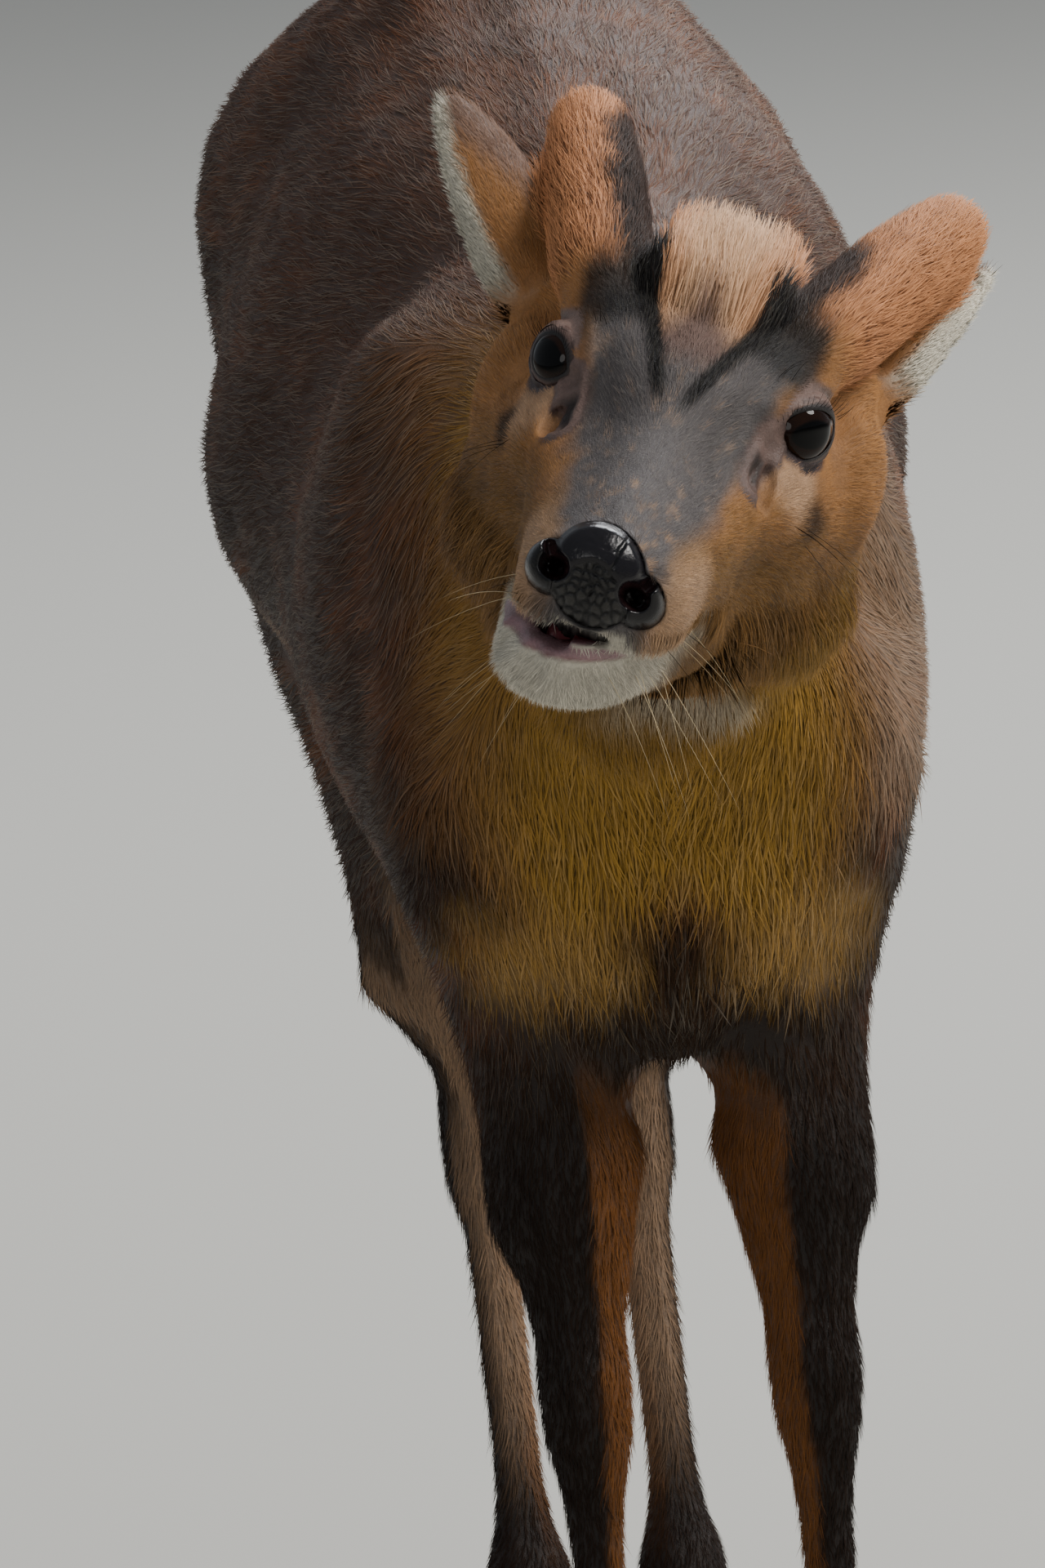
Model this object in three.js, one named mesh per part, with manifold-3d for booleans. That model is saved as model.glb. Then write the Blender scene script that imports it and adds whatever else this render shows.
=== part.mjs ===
// A life-size muntjac buck as a still standing model, in millimetres, +Z up.
// It faces -Y with its left side towards +X, its feet flat on the ground, and its head turned and tilted.
// Soft masses describe muscle and bone, and rays cast from a spine find the skin round them.
// Thin cuts then part the body into its nodes.

import * as THREE from "three";
import { mergeVertices } from "three/addons/utils/BufferGeometryUtils.js";
import Module from "manifold-3d";

const wasm = await Module();
wasm.setup();

// Driving dimensions of the body
const SHOULDER_HEIGHT = 495;
const RUMP_HEIGHT = 566;
const CHEST_HALF_WIDTH = 95;
const BELLY_HALF_WIDTH = 110;
const HIP_HALF_WIDTH = 99;
const HIP_SHIFT = 3;
const HIP_LEAN = 10;
const FORELEG_X = 34;
const FORELEG_Y = -164;
const HINDLEG_X = 24;
const HOCK_Y = 152;
const HOCK_HEIGHT = 180;
const HIND_FOOT_Y = 116;
const KNEE_HEIGHT = 150;
const FETLOCK_HEIGHT = 45;
const HOOF_LENGTH = 32;
const HOOF_HEIGHT = 20;
const HOOF_WIDTH = 10;
const CLAW_SPREAD = 5.6;
const TAIL_LENGTH = 110;
const TAIL_LOCKS = 10;
const TAIL_LOCK_SIZE = [44, 7, 2.2];

// Driving dimensions of the head, in its own frame: origin between the eyes, -Y to the nose, +X to the left
const HEAD_PLACE = [-4, -330, 469];
const HEAD_NOD = 4.7;
const HEAD_TILT = 20.4;
const HEAD_TURN = -16.3;
const EYE_PLACE = [28, 1, 1];
const EYE_RADIUS = 12.5;
const EYE_AXIS = [0.72, -0.68, 0.12];
const LID_THICKNESS = 2;
const NOSE_Y = -91;
const JAW_HINGE = [0, 48, -26];
const JAW_GAPE = 3.6;
const JAW_ROLL = -9;
const JAW_SWING = -6;
const MOUTH_CORNER = [-44, -46];
const LIPS_OPEN_TO = 6;
const LIPS_SPAN = 40;
const HEAD_SPAN = 60;
const PEDICLE_ROOT = [27, 6, 16];
const PEDICLE_TIP = [53, 92, 43];
const PEDICLE_RADIUS = 13.6;
const TIP_LOCKS = 9;
const TIP_LOCK_SIZE = [20, 5.5, 1.8];
const CREST_PLACE = [0, 26, 25];
const CREST_RADII = [24, 26, 13];
const CREST_ROWS = 5;
const EAR_ROOT = [38, 50, -8];
const LEFT_EAR_TIP = [66, 106, 34];
const RIGHT_EAR_TIP = [-94, 72, 47];
const EAR_OPENING = [0.72, 0.62, -0.3];
const EAR_HALF_WIDTH = 23;
const EAR_BOW = 10;
const EAR_THICKNESS = 2.6;

// Joins, gaps and steps
const GAP = 0.3;
const BODY_BLEND = 24;
const LEG_BLEND = 14;
const HEAD_BLEND = 11;
const NOSE_BLEND = 5;
const RAY_STEP = 2.5;
const RAY_HALVINGS = 11;
const SPACE = 1800;

// Parting planes: heights on the legs, places along the trunk, and the skull's back edge in its own frame
const ELBOW_CUT = 236;
const STIFLE_CUT = 286;
const KNEE_CUT = 148;
const HOCK_CUT = 176;
const FETLOCK_CUT = 56;
const NECK_CUT = [[0, -150, 402], [0, -0.86, 0.5]];
const LOIN_CUT = [[0, -8, 380], [0, 1, 0]];
const FLANK_CUT = [[0, 76, 380], [0, 0.94, -0.34]];
const SKULL_BACK = 74;

const degrees = THREE.MathUtils.degToRad;
const vector = (values) => new THREE.Vector3(...values);
const both = (make) => [make(1), make(-1)].flat();

// A place and a turn in degrees as one matrix: nod about X, tilt about Y, turn about Z.
function placed(at, [nod, tilt, turn] = [0, 0, 0]) {
  const euler = new THREE.Euler(degrees(nod), degrees(tilt), degrees(turn), "ZXY");
  const size = new THREE.Vector3(1, 1, 1);
  return new THREE.Matrix4().compose(vector(at), new THREE.Quaternion().setFromEuler(euler), size);
}

const BODY = new THREE.Matrix4();
const HEAD = placed(HEAD_PLACE, [HEAD_NOD, HEAD_TILT, HEAD_TURN]);
const JAW = HEAD.clone()
  .multiply(placed(JAW_HINGE, [JAW_GAPE, JAW_ROLL, JAW_SWING]))
  .multiply(placed(JAW_HINGE.map((value) => -value)));

const inSpace = (point, space) => vector(point).applyMatrix4(space);
const mirrored = (s, [x, y, z]) => [s * x, y, z];

// An ellipsoid of flesh: the distance to its surface, negative inside.
function blob(centre, radii, turn = [0, 0, 0], space = BODY) {
  const m = space.clone().multiply(placed(centre, turn)).invert().elements;
  const [a, b, c] = radii;
  return (x, y, z) => {
    const u = (m[0] * x + m[4] * y + m[8] * z + m[12]) / a;
    const v = (m[1] * x + m[5] * y + m[9] * z + m[13]) / b;
    const w = (m[2] * x + m[6] * y + m[10] * z + m[14]) / c;
    const near = Math.sqrt(u * u + v * v + w * w);
    const slope = Math.hypot(u / a, v / b, w / c);
    return slope < 1e-9 ? -Math.min(a, b, c) : (near * (near - 1)) / slope;
  };
}

// A limb tapers from one radius to another along a straight line.
function limb(from, to, startRadius, endRadius, space = BODY) {
  const a = inSpace(from, space);
  const d = inSpace(to, space).sub(a);
  const span = d.lengthSq();
  return (x, y, z) => {
    const px = x - a.x;
    const py = y - a.y;
    const pz = z - a.z;
    const share = Math.min(1, Math.max(0, (px * d.x + py * d.y + pz * d.z) / span));
    const away = Math.hypot(px - share * d.x, py - share * d.y, pz - share * d.z);
    return away - startRadius - share * (endRadius - startRadius);
  };
}

// Masses melted into one surface, with fillets of about the given width.
function melt(masses, width) {
  return (x, y, z) => {
    let distance = masses[0](x, y, z);
    for (let i = 1; i < masses.length; i += 1) {
      const other = masses[i](x, y, z);
      const overlap = Math.max(width - Math.abs(distance - other), 0) / width;
      distance = Math.min(distance, other) - (overlap * overlap * width) / 4;
    }
    return distance;
  };
}

// How far a ray runs from a point inside the flesh before it leaves it.
function castRay(flesh, from, along, reach, grow) {
  const at = (r) => flesh(from.x + along.x * r, from.y + along.y * r, from.z + along.z * r) - grow;
  let outside = RAY_STEP;
  while (outside < reach && at(outside) < 0) outside += RAY_STEP;
  if (outside >= reach) return reach;
  let inside = outside - RAY_STEP;
  for (let i = 0; i < RAY_HALVINGS; i += 1) {
    const middle = (inside + outside) / 2;
    if (at(middle) < 0) inside = middle;
    else outside = middle;
  }
  return (inside + outside) / 2;
}

// A sphere's rows become rings round a spine, its poles the two ends, and each vertex goes out to the skin.
function castSkin(flesh, points, { rows, sides, caps = 4, reach = 200, grow = 0, up = [0, 0, 1] }) {
  const spine = new THREE.CatmullRomCurve3(points);
  const skin = new THREE.SphereGeometry(1, sides, rows);
  const position = skin.getAttribute("position");
  const direction = new THREE.Vector3();
  const sideways = new THREE.Vector3();
  const upward = new THREE.Vector3();
  for (let i = 0; i < position.count; i += 1) {
    const row = Math.floor(i / (sides + 1));
    const share = THREE.MathUtils.clamp((row - caps) / (rows - 2 * caps), 0, 1);
    const centre = spine.getPointAt(share);
    const back = spine.getTangentAt(share).negate();
    sideways.crossVectors(back, vector(up)).normalize();
    upward.crossVectors(sideways, back);
    direction.fromBufferAttribute(position, i);
    const around = Math.atan2(direction.z, direction.x);
    let lean = Math.PI / 2;
    if (row < caps) lean = (row / caps) * lean;
    if (row > rows - caps) lean = Math.PI - ((rows - row) / caps) * lean;
    direction
      .copy(back)
      .multiplyScalar(Math.cos(lean))
      .addScaledVector(sideways, Math.cos(around) * Math.sin(lean))
      .addScaledVector(upward, Math.sin(around) * Math.sin(lean));
    const limit = typeof reach === "function" ? reach(share) : reach;
    const length = castRay(flesh, centre, direction, limit, grow);
    position.setXYZ(i, ...centre.addScaledVector(direction, length).toArray());
  }
  return skin;
}

// A closed mesh as a solid that can be joined and cut.
function solid(geometry, place = BODY) {
  const bare = geometry.clone().applyMatrix4(place);
  bare.deleteAttribute("normal");
  bare.deleteAttribute("uv");
  const merged = mergeVertices(bare, 1e-3);
  return new wasm.Manifold(
    new wasm.Mesh({
      numProp: 3,
      vertProperties: new Float32Array(merged.attributes.position.array),
      triVerts: new Uint32Array(merged.index.array),
    }),
  );
}

const join = (pieces) => pieces.reduce((sum, piece) => sum.add(piece));
const clearOf = (body, cutters) => cutters.reduce((rest, cutter) => rest.subtract(cutter), body);
const ball = (radii, sides, rows) => new THREE.SphereGeometry(1, sides, rows).scale(...radii);

// All of space on the side of a plane that the normal points to, half a gap off the plane.
function beyond(point, normal) {
  const box = new THREE.BoxGeometry(SPACE, SPACE, SPACE).translate(0, 0, (SPACE + GAP) / 2);
  const upward = new THREE.Vector3(0, 0, 1);
  const turn = new THREE.Quaternion().setFromUnitVectors(upward, normal.clone().normalize());
  return solid(box, new THREE.Matrix4().compose(point, turn, new THREE.Vector3(1, 1, 1)));
}

// A body parted by a plane with a thin gap: the piece on the normal's side, then the other.
function part(body, point, normal) {
  return [body.intersect(beyond(point, normal)), body.intersect(beyond(point, normal.clone().negate()))];
}

const atHeight = (body, height) => part(body, new THREE.Vector3(0, 0, height), new THREE.Vector3(0, 0, 1));

function largest(body) {
  return body.decompose().reduce((best, piece) => (piece.volume() > best.volume() ? piece : best));
}

// The piece of a parted body whose middle lies on one side.
function onSide(body, s) {
  const pieces = body.decompose().filter((piece) => {
    const box = piece.boundingBox();
    return s * (box.min[0] + box.max[0]) > 0;
  });
  return largest(join(pieces));
}

// A profile in the plane of Y and Z, drawn out along X to both sides.
function slab(outline, halfWidth) {
  const shape = new THREE.Shape(outline.map(([y, z]) => new THREE.Vector2(y, z)));
  const drawn = new THREE.ExtrudeGeometry(shape, { depth: 2 * halfWidth, bevelEnabled: false });
  const turn = new THREE.Matrix4().makeBasis(
    new THREE.Vector3(0, 1, 0),
    new THREE.Vector3(0, 0, 1),
    new THREE.Vector3(1, 0, 0),
  );
  return drawn.applyMatrix4(turn).translate(-halfWidth, 0, 0);
}

// A turn that takes the axes to an outward axis and a second direction as near as can be to the given one.
function aimed(at, outward, second) {
  const z = vector(outward).normalize();
  const x = new THREE.Vector3().crossVectors(vector(second), z).normalize();
  const y = new THREE.Vector3().crossVectors(z, x);
  return new THREE.Matrix4().makeBasis(x, y, z).setPosition(vector(at));
}

// A cupped leaf: a box's two faces become the back and the inside of an ear that narrows to its tip.
function earLeaf(root, tip, opening, halfWidth, thickness) {
  const leaf = new THREE.BoxGeometry(2, 1, 1, 8, 8, 1);
  const position = leaf.getAttribute("position");
  const along = vector(tip).sub(vector(root));
  const cup = vector(opening).projectOnPlane(along.clone().normalize()).normalize();
  const side = new THREE.Vector3().crossVectors(cup, along).normalize();
  const point = new THREE.Vector3();
  for (let i = 0; i < position.count; i += 1) {
    const across = position.getX(i);
    const share = position.getY(i) + 0.5;
    const layer = position.getZ(i);
    const width = halfWidth * Math.sin(Math.PI * (0.22 + 0.75 * share)) ** 0.8;
    const halfArc = THREE.MathUtils.lerp(1.9, 0.8, share);
    const radius = width / halfArc;
    const angle = across * halfArc;
    const out = radius + layer * thickness * (1 - 0.4 * Math.abs(across));
    point
      .copy(vector(root))
      .addScaledVector(along, share)
      .addScaledVector(cup, radius - out * Math.cos(angle) - EAR_BOW * Math.sin(Math.PI * share))
      .addScaledVector(side, out * Math.sin(angle));
    position.setXYZ(i, point.x, point.y, point.z);
  }
  return leaf;
}

// One claw of a hoof: a leaning dome cut off flat at the ground, at the coronet and along its inner side.
function claw(x, y, t) {
  const dome = ball([HOOF_WIDTH, HOOF_LENGTH / 2, HOOF_HEIGHT * 1.35], 10, 8);
  const lean = new THREE.Matrix4().makeShear(0, 0, 0, 0, 0, 0.35);
  const stood = dome.applyMatrix4(lean).translate(x + t * CLAW_SPREAD, y - 21, 0);
  const floor = solid(new THREE.BoxGeometry(SPACE, SPACE, SPACE).translate(0, 0, SPACE / 2));
  const inside = beyond(new THREE.Vector3(x + t * GAP, y, 0), new THREE.Vector3(t, 0, 0));
  return solid(stood).intersect(floor).intersect(inside);
}

// A flat lock of hair: it tapers from a sunk root to a point and bends along its length.
function lock(root, towards, bend, [length, width, thickness], grow = 0) {
  const rings = 3;
  const sides = 4;
  const geometry = new THREE.SphereGeometry(1, sides, rings + 1);
  const position = geometry.getAttribute("position");
  const axis = vector(towards).normalize();
  const droop = vector(bend);
  const side = new THREE.Vector3().crossVectors(axis, droop).normalize();
  const flat = new THREE.Vector3().crossVectors(side, axis);
  const point = new THREE.Vector3();
  for (let i = 0; i < position.count; i += 1) {
    const row = Math.floor(i / (sides + 1));
    const along = row / (rings + 1);
    const around = ((i % (sides + 1)) / sides) * Math.PI * 2;
    const full = row === 0 || row === rings + 1 ? 0 : Math.sin(Math.PI * (0.3 + 0.7 * along)) ** 0.8;
    point
      .copy(vector(root))
      .addScaledVector(axis, along * length + (2 * along - 1) * grow)
      .addScaledVector(droop, along * along * length)
      .addScaledVector(side, Math.cos(around) * full * (width + 4 * grow))
      .addScaledVector(flat, Math.sin(around) * full * (thickness + 2 * grow));
    position.setXYZ(i, point.x, point.y, point.z);
  }
  return geometry;
}

// A repeatable stream of numbers between 0 and 1.
function stream(seed) {
  let state = seed;
  return () => {
    state = (state * 16807) % 2147483647;
    return state / 2147483647;
  };
}

// Muscle and bone of the trunk and neck

const skullBack = inSpace([0, 66, -16], HEAD).toArray();
const throat = inSpace([0, 44, -46], HEAD).toArray();
const backHeight = RUMP_HEIGHT - 60;
const trunkMasses = [
  blob([0, -60, 372], [CHEST_HALF_WIDTH, 158, 108]),
  blob([5, 60, 402], [BELLY_HALF_WIDTH, 140, 88]),
  blob([HIP_SHIFT + 3, 70, 448], [BELLY_HALF_WIDTH - 18, 160, 88]),
  blob([0, -152, 312], [50, 58, 66]),
  blob([0, -98, SHOULDER_HEIGHT - 46], [34, 76, 42]),
  limb([0, -120, 442], [3, -10, 458], 38, 50),
  limb([3, -10, 458], [HIP_SHIFT, 115, backHeight], 50, 57),
  limb([HIP_SHIFT, 115, backHeight], [HIP_SHIFT, 225, 464], 57, 38),
  blob([HIP_SHIFT + 3, 162, 462], [HIP_HALF_WIDTH, 94, 82], [0, HIP_LEAN, 0]),
  limb([0, -120, 408], skullBack, 56, 42),
  limb([0, -158, 350], throat, 52, 38),
  ...both((s) => [
    blob([s * 54, -118, 378], [33, 56, 100], [-14, 0, 0]),
    limb([s * 52, -178, 344], [s * 43, -142, 286], 29, 25),
    blob([s * 46 + HIP_SHIFT / 2, 162, 404], [36, 80, 108], [10, 0, 0]),
    limb([s * 38, 226, 440], [s * 38, 188, 308], 36, 23),
    limb([s * 46, 150, 372], [s * 42, 152, 284], 38, 26),
    limb([s * 44, 118, 372], [s * 44, 88, 318], 38, 26),
  ]),
];

// Muscle and bone of the legs, from the elbow or stifle to the toes

function foreleg(s) {
  const x = s * FORELEG_X;
  return [
    limb([s * 39, -140, 296], [s * 34, -154, 215], 29, 23),
    limb([s * 34, -154, 215], [x, FORELEG_Y, KNEE_HEIGHT + 10], 22, 13.5),
    blob([x, FORELEG_Y - 1, KNEE_HEIGHT - 2], [12, 13, 20]),
    limb([x, FORELEG_Y, KNEE_HEIGHT], [x, FORELEG_Y, FETLOCK_HEIGHT + 6], 10.5, 9.5),
    ...foot(x, FORELEG_Y),
  ];
}

function hindleg(s) {
  const x = s * HINDLEG_X;
  return [
    limb([s * 48, 92, 322], [s * 39, 134, 240], 31, 21),
    limb([s * 39, 134, 240], [x, HOCK_Y, HOCK_HEIGHT + 14], 20, 11),
    limb([s * 41, 182, 320], [x, HOCK_Y + 15, HOCK_HEIGHT + 18], 26, 6.5),
    limb([x, HOCK_Y + 13, HOCK_HEIGHT + 14], [x, HOCK_Y + 6, HOCK_HEIGHT - 14], 7.5, 9),
    blob([x, HOCK_Y, HOCK_HEIGHT - 2], [10.5, 13, 19]),
    limb([x, HOCK_Y - 2, HOCK_HEIGHT - 10], [x, HIND_FOOT_Y, FETLOCK_HEIGHT + 8], 10.5, 9.5),
    ...foot(x, HIND_FOOT_Y),
  ];
}

// The fetlock and pastern slope forward to two toes.
function foot(x, y) {
  return [
    blob([x, y + 1, FETLOCK_HEIGHT], [11.5, 12.5, 14]),
    limb([x, y, FETLOCK_HEIGHT - 4], [x, y - 12, 24], 10, 9.5),
    ...both((t) => limb([x + t * 4, y - 8, 30], [x + t * 5.5, y - 16, 14], 7.5, 7.5)),
  ];
}

// Muscle and bone of the head

const headMasses = [
  blob([0, 36, 0], [37, 50, 32], [0, 0, 0], HEAD),
  blob([0, 4, 4], [30, 36, 20], [10, 0, 0], HEAD),
  limb([0, -18, -6], [0, -82, -25], 17, 13, HEAD),
  blob([0, 70, -10], [36, 26, 32], [0, 0, 0], HEAD),
  blob([0, 32, -42], [30, 44, 28], [0, 0, 0], HEAD),
  blob([0, -80, -38], [19, 17, 12], [0, 0, 0], HEAD),
  ...both((s) => [
    blob([s * 26, 5, 1], [14, 21, 15], [0, 0, 0], HEAD),
    limb([s * 24, 14, 20], [s * 10, -20, 4], 9, 5, HEAD),
    limb([s * 19, -20, -22], [s * 12, -80, -34], 18, 12, HEAD),
    limb([s * 17, -46, -40], [s * 12, -80, -41], 9, 8, HEAD),
    limb([s * 34, -14, -20], [s * 42, 36, -26], 9, 17, HEAD),
    blob([s * 20, -26, -48], [12, 24, 15], [0, 0, 0], HEAD),
    blob([s * 28, 22, -38], [22, 38, 31], [0, 0, 0], HEAD),
    blob([s * 33, 44, -52], [27, 34, 32], [0, 0, 0], HEAD),
    blob([s * 40, 46, 0], [12, 16, 17], [0, 0, 0], HEAD),
  ]),
];
const jawMasses = [
  blob([0, -70, -59], [14, 16, 9], [0, 0, 0], JAW),
  blob([0, -40, -62], [18, 34, 11], [0, 0, 0], JAW),
  limb([0, -34, -50], [-4, -78, -50], 13, 9, HEAD),
  ...both((s) => limb([s * 27, 20, -64], [s * 12, -66, -57], 16, 8, JAW)),
];
const noseMasses = [
  blob([-1, NOSE_Y, -27], [14, 12, 11], [0, 0, 0], HEAD),
  blob([-1, NOSE_Y, -38], [13, 9, 10], [0, 0, 0], HEAD),
  blob([0, NOSE_Y + 6, -21], [13, 13, 6], [12, 0, 0], HEAD),
  ...both((s) => blob([s * 13.5 - 1, NOSE_Y + 1, -31], [8, 10, 9], [0, 0, s * -20], HEAD)),
];

// Skins cast round the masses

const trunkFlesh = melt(trunkMasses, BODY_BLEND);
const trunkSpine = [
  [HIP_SHIFT, 212, 428],
  [HIP_SHIFT, 120, 418],
  [3, 0, 394],
  [0, -100, 382],
  [0, -170, 396],
  [4, -225, 430],
  skullBack,
].map(vector);
const trunkShape = { rows: 34, sides: 28, caps: 5, reach: 170 };
const trunk = solid(castSkin(trunkFlesh, trunkSpine, trunkShape));
const trunkGrown = solid(castSkin(trunkFlesh, trunkSpine, { ...trunkShape, grow: GAP }));

const headFlesh = melt([...headMasses, ...jawMasses], HEAD_BLEND);
const headSpine = [
  [-3, -74, -40],
  [-2, -40, -32],
  [0, 0, -22],
  [0, 40, -14],
  [0, 74, -12],
].map((point) => inSpace(point, HEAD));
const headShape = { rows: 32, sides: 32, caps: 6, reach: 92 };
const skull = solid(castSkin(headFlesh, headSpine, headShape));
const skullGrown = solid(castSkin(headFlesh, headSpine, { ...headShape, grow: GAP }));

function legSkin(masses, points, rows) {
  const flesh = melt([...masses, ...trunkMasses], LEG_BLEND);
  const reach = (share) => 58 - 34 * Math.min(1, 3 * share);
  return solid(castSkin(flesh, points.map(vector), { rows, sides: 10, caps: 3, reach, up: [0, -1, 0] }));
}

const forelegs = both((s) =>
  legSkin(
    foreleg(s),
    [
      [s * 44, -142, 300],
      [s * 36, -154, 215],
      [s * FORELEG_X, FORELEG_Y, KNEE_HEIGHT],
      [s * FORELEG_X, FORELEG_Y, FETLOCK_HEIGHT],
      [s * FORELEG_X, FORELEG_Y - 14, 20],
    ],
    24,
  ),
);
const hindlegs = both((s) =>
  legSkin(
    hindleg(s),
    [
      [s * 42, 122, 312],
      [s * 38, 146, 244],
      [s * HINDLEG_X, HOCK_Y + 4, HOCK_HEIGHT],
      [s * HINDLEG_X, HIND_FOOT_Y, FETLOCK_HEIGHT],
      [s * HINDLEG_X, HIND_FOOT_Y - 14, 20],
    ],
    26,
  ),
);

// Nodes of the finished object

const group = new THREE.Group();
const materials = {
  coat: new THREE.MeshStandardMaterial({ color: 0x4a3a30, roughness: 0.9 }),
  nose: new THREE.MeshStandardMaterial({ color: 0x17151a, roughness: 0.35 }),
  eye: new THREE.MeshStandardMaterial({ color: 0x0b0908, roughness: 0.08 }),
  hoof: new THREE.MeshStandardMaterial({ color: 0x16130f, roughness: 0.5 }),
  mouth: new THREE.MeshStandardMaterial({ color: 0x8a4a50, roughness: 0.4 }),
};

function addNode(name, body, material = materials.coat) {
  const mesh = largest(body).getMesh();
  const geometry = new THREE.BufferGeometry();
  const places = new Float32Array(mesh.numVert * 3);
  for (let i = 0; i < mesh.numVert; i += 1) {
    places.set(mesh.vertProperties.subarray(i * mesh.numProp, i * mesh.numProp + 3), i * 3);
  }
  geometry.setAttribute("position", new THREE.BufferAttribute(places, 3));
  geometry.setIndex(new THREE.BufferAttribute(mesh.triVerts, 1));
  geometry.computeVertexNormals();
  const node = new THREE.Mesh(geometry, material);
  node.name = name;
  group.add(node);
}

// The head: sockets, lids, gland pits and the mouth

const eyePlace = (s) => mirrored(s, EYE_PLACE);
const eyeSpace = (s) => HEAD.clone().multiply(aimed(eyePlace(s), mirrored(s, EYE_AXIS), [0, -0.3, 1]));
const eyeball = (grow) => ball([1, 1, 1].map(() => EYE_RADIUS + grow), 14, 9);
const lids = (grow) => both((s) => solid(eyeball(LID_THICKNESS + grow), eyeSpace(s)));
const headGrown = join([skullGrown, ...lids(GAP)]);
const sockets = both((s) => {
  const opening = ball([9.6, 6.9, 9], 12, 8).translate(0, 0, EYE_RADIUS);
  return [solid(eyeball(GAP), eyeSpace(s)), solid(opening, eyeSpace(s))];
});
const glands = both((s) =>
  solid(ball([3, 11, 3.6], 8, 6), HEAD.clone().multiply(placed([s * 31, -25, -12], [38, 0, s * 14]))),
);

const [cornerY, cornerZ] = MOUTH_CORNER;
const corner = [cornerY, cornerZ];
const opened = placed([LIPS_OPEN_TO - LIPS_SPAN, 0, 0]);
const upperLip = slab([corner, [cornerY, cornerZ - 1], [-120, -56], [-120, -47]], LIPS_SPAN);
const lowerLip = slab([corner, [-120, -40], [-120, -50], [cornerY, cornerZ - 1.5]], LIPS_SPAN);
const lipLine = slab(
  [[cornerY + 1, cornerZ], [cornerY + 1, cornerZ - GAP], [-120, -56 - GAP], [-120, -56]],
  HEAD_SPAN,
);
const jawCut = slab(
  [[cornerY - 1, cornerZ], [12, -110], [12 + 2 * GAP, -110], [cornerY + GAP, cornerZ]],
  HEAD_SPAN,
);
const palate = solid(ball([11, 28, 6], 12, 8), HEAD.clone().multiply(placed([0, -60, -47])));
const mouthFloor = solid(ball([10, 21, 7], 12, 8), JAW.clone().multiply(placed([0, -56, -51])));
const mouth = [
  solid(upperLip, HEAD.clone().multiply(opened)),
  solid(lowerLip, JAW.clone().multiply(opened)),
  solid(lipLine, HEAD),
  solid(jawCut, HEAD),
  palate,
  mouthFloor,
];

const headBody = clearOf(join([skull, ...lids(0)]), [...sockets, ...glands, ...mouth]);
const skullPlane = inSpace([0, SKULL_BACK, 0], HEAD);
const headBack = new THREE.Vector3(0, 1, 0).transformDirection(HEAD);
const [, headFront] = part(headBody, skullPlane, headBack);
const headPieces = headFront.decompose().sort((a, b) => b.volume() - a.volume());
addNode("head", headPieces[0]);
addNode("lower_jaw", headPieces[1]);
both((s) => addNode(s > 0 ? "eye_left" : "eye_right", solid(eyeball(0), eyeSpace(s)), materials.eye));

const noseFlesh = melt(noseMasses, NOSE_BLEND);
const noseSpine = [[0, NOSE_Y - 4, -30], [0, NOSE_Y + 6, -27]].map((point) => inSpace(point, HEAD));
const noseCast = solid(castSkin(noseFlesh, noseSpine, { rows: 12, sides: 18, caps: 5, reach: 40 }));
const nostrils = both((s) => {
  const hole = placed([s * 11.5, NOSE_Y - 9, -29], [0, 0, s * 28]);
  const tail = placed([s * 16.5, NOSE_Y - 7, -25.5], [0, s * 32, s * 40]);
  return [
    solid(ball([3.6, 10, 3.2], 8, 6), HEAD.clone().multiply(hole)),
    solid(ball([6, 7, 1.7], 8, 6), HEAD.clone().multiply(tail)),
  ];
});
addNode("nose", clearOf(noseCast, [headGrown, ...nostrils]), materials.nose);
const tongue = solid(ball([7.5, 17, 4.5], 10, 8), JAW.clone().multiply(placed([-0.5, -56, -52.5])));
addNode("tongue", tongue, materials.mouth);

// Pedicles, ears and the crest between them stand on the skull

const pedicleCast = (s, grow) => {
  const masses = [
    limb(mirrored(s, PEDICLE_ROOT), mirrored(s, PEDICLE_TIP), PEDICLE_RADIUS, PEDICLE_RADIUS, HEAD),
    blob(mirrored(s, PEDICLE_TIP), [14, 16, 14], [14, 0, s * -16], HEAD),
  ];
  const spine = [PEDICLE_ROOT, PEDICLE_TIP].map((point) => inSpace(mirrored(s, point), HEAD));
  const shape = { rows: 14, sides: 12, caps: 4, reach: 40, grow };
  return solid(castSkin(melt(masses, HEAD_BLEND), spine, shape));
};
const underPedicles = [headGrown, trunkGrown];

// Locks fan out round the end of a pedicle.
function tipLocks(s, grow) {
  const tip = vector(mirrored(s, PEDICLE_TIP));
  const axis = tip.clone().sub(vector(mirrored(s, PEDICLE_ROOT))).normalize();
  const across = new THREE.Vector3(0, 0, 1).cross(axis).normalize();
  const over = axis.clone().cross(across);
  return Array.from({ length: TIP_LOCKS }, (_, i) => {
    const around = (i / TIP_LOCKS) * Math.PI * 2;
    const out = across.clone().multiplyScalar(Math.cos(around)).addScaledVector(over, Math.sin(around));
    const root = tip.clone().addScaledVector(out, 9).addScaledVector(axis, (i % 2) * 4);
    const towards = axis.clone().addScaledVector(out, 0.25);
    const droop = out.clone().multiplyScalar(-0.15).addScaledVector(over, 0.06);
    return solid(lock(root.toArray(), towards.toArray(), droop.toArray(), TIP_LOCK_SIZE, grow), HEAD);
  });
}

const pedicle = (s, grow) => join([pedicleCast(s, grow), ...tipLocks(s, grow)]);
both((s) => addNode(s > 0 ? "pedicle_left" : "pedicle_right", clearOf(pedicle(s, 0), underPedicles)));
const underEars = [...underPedicles, ...both((s) => pedicle(s, GAP))];

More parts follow.
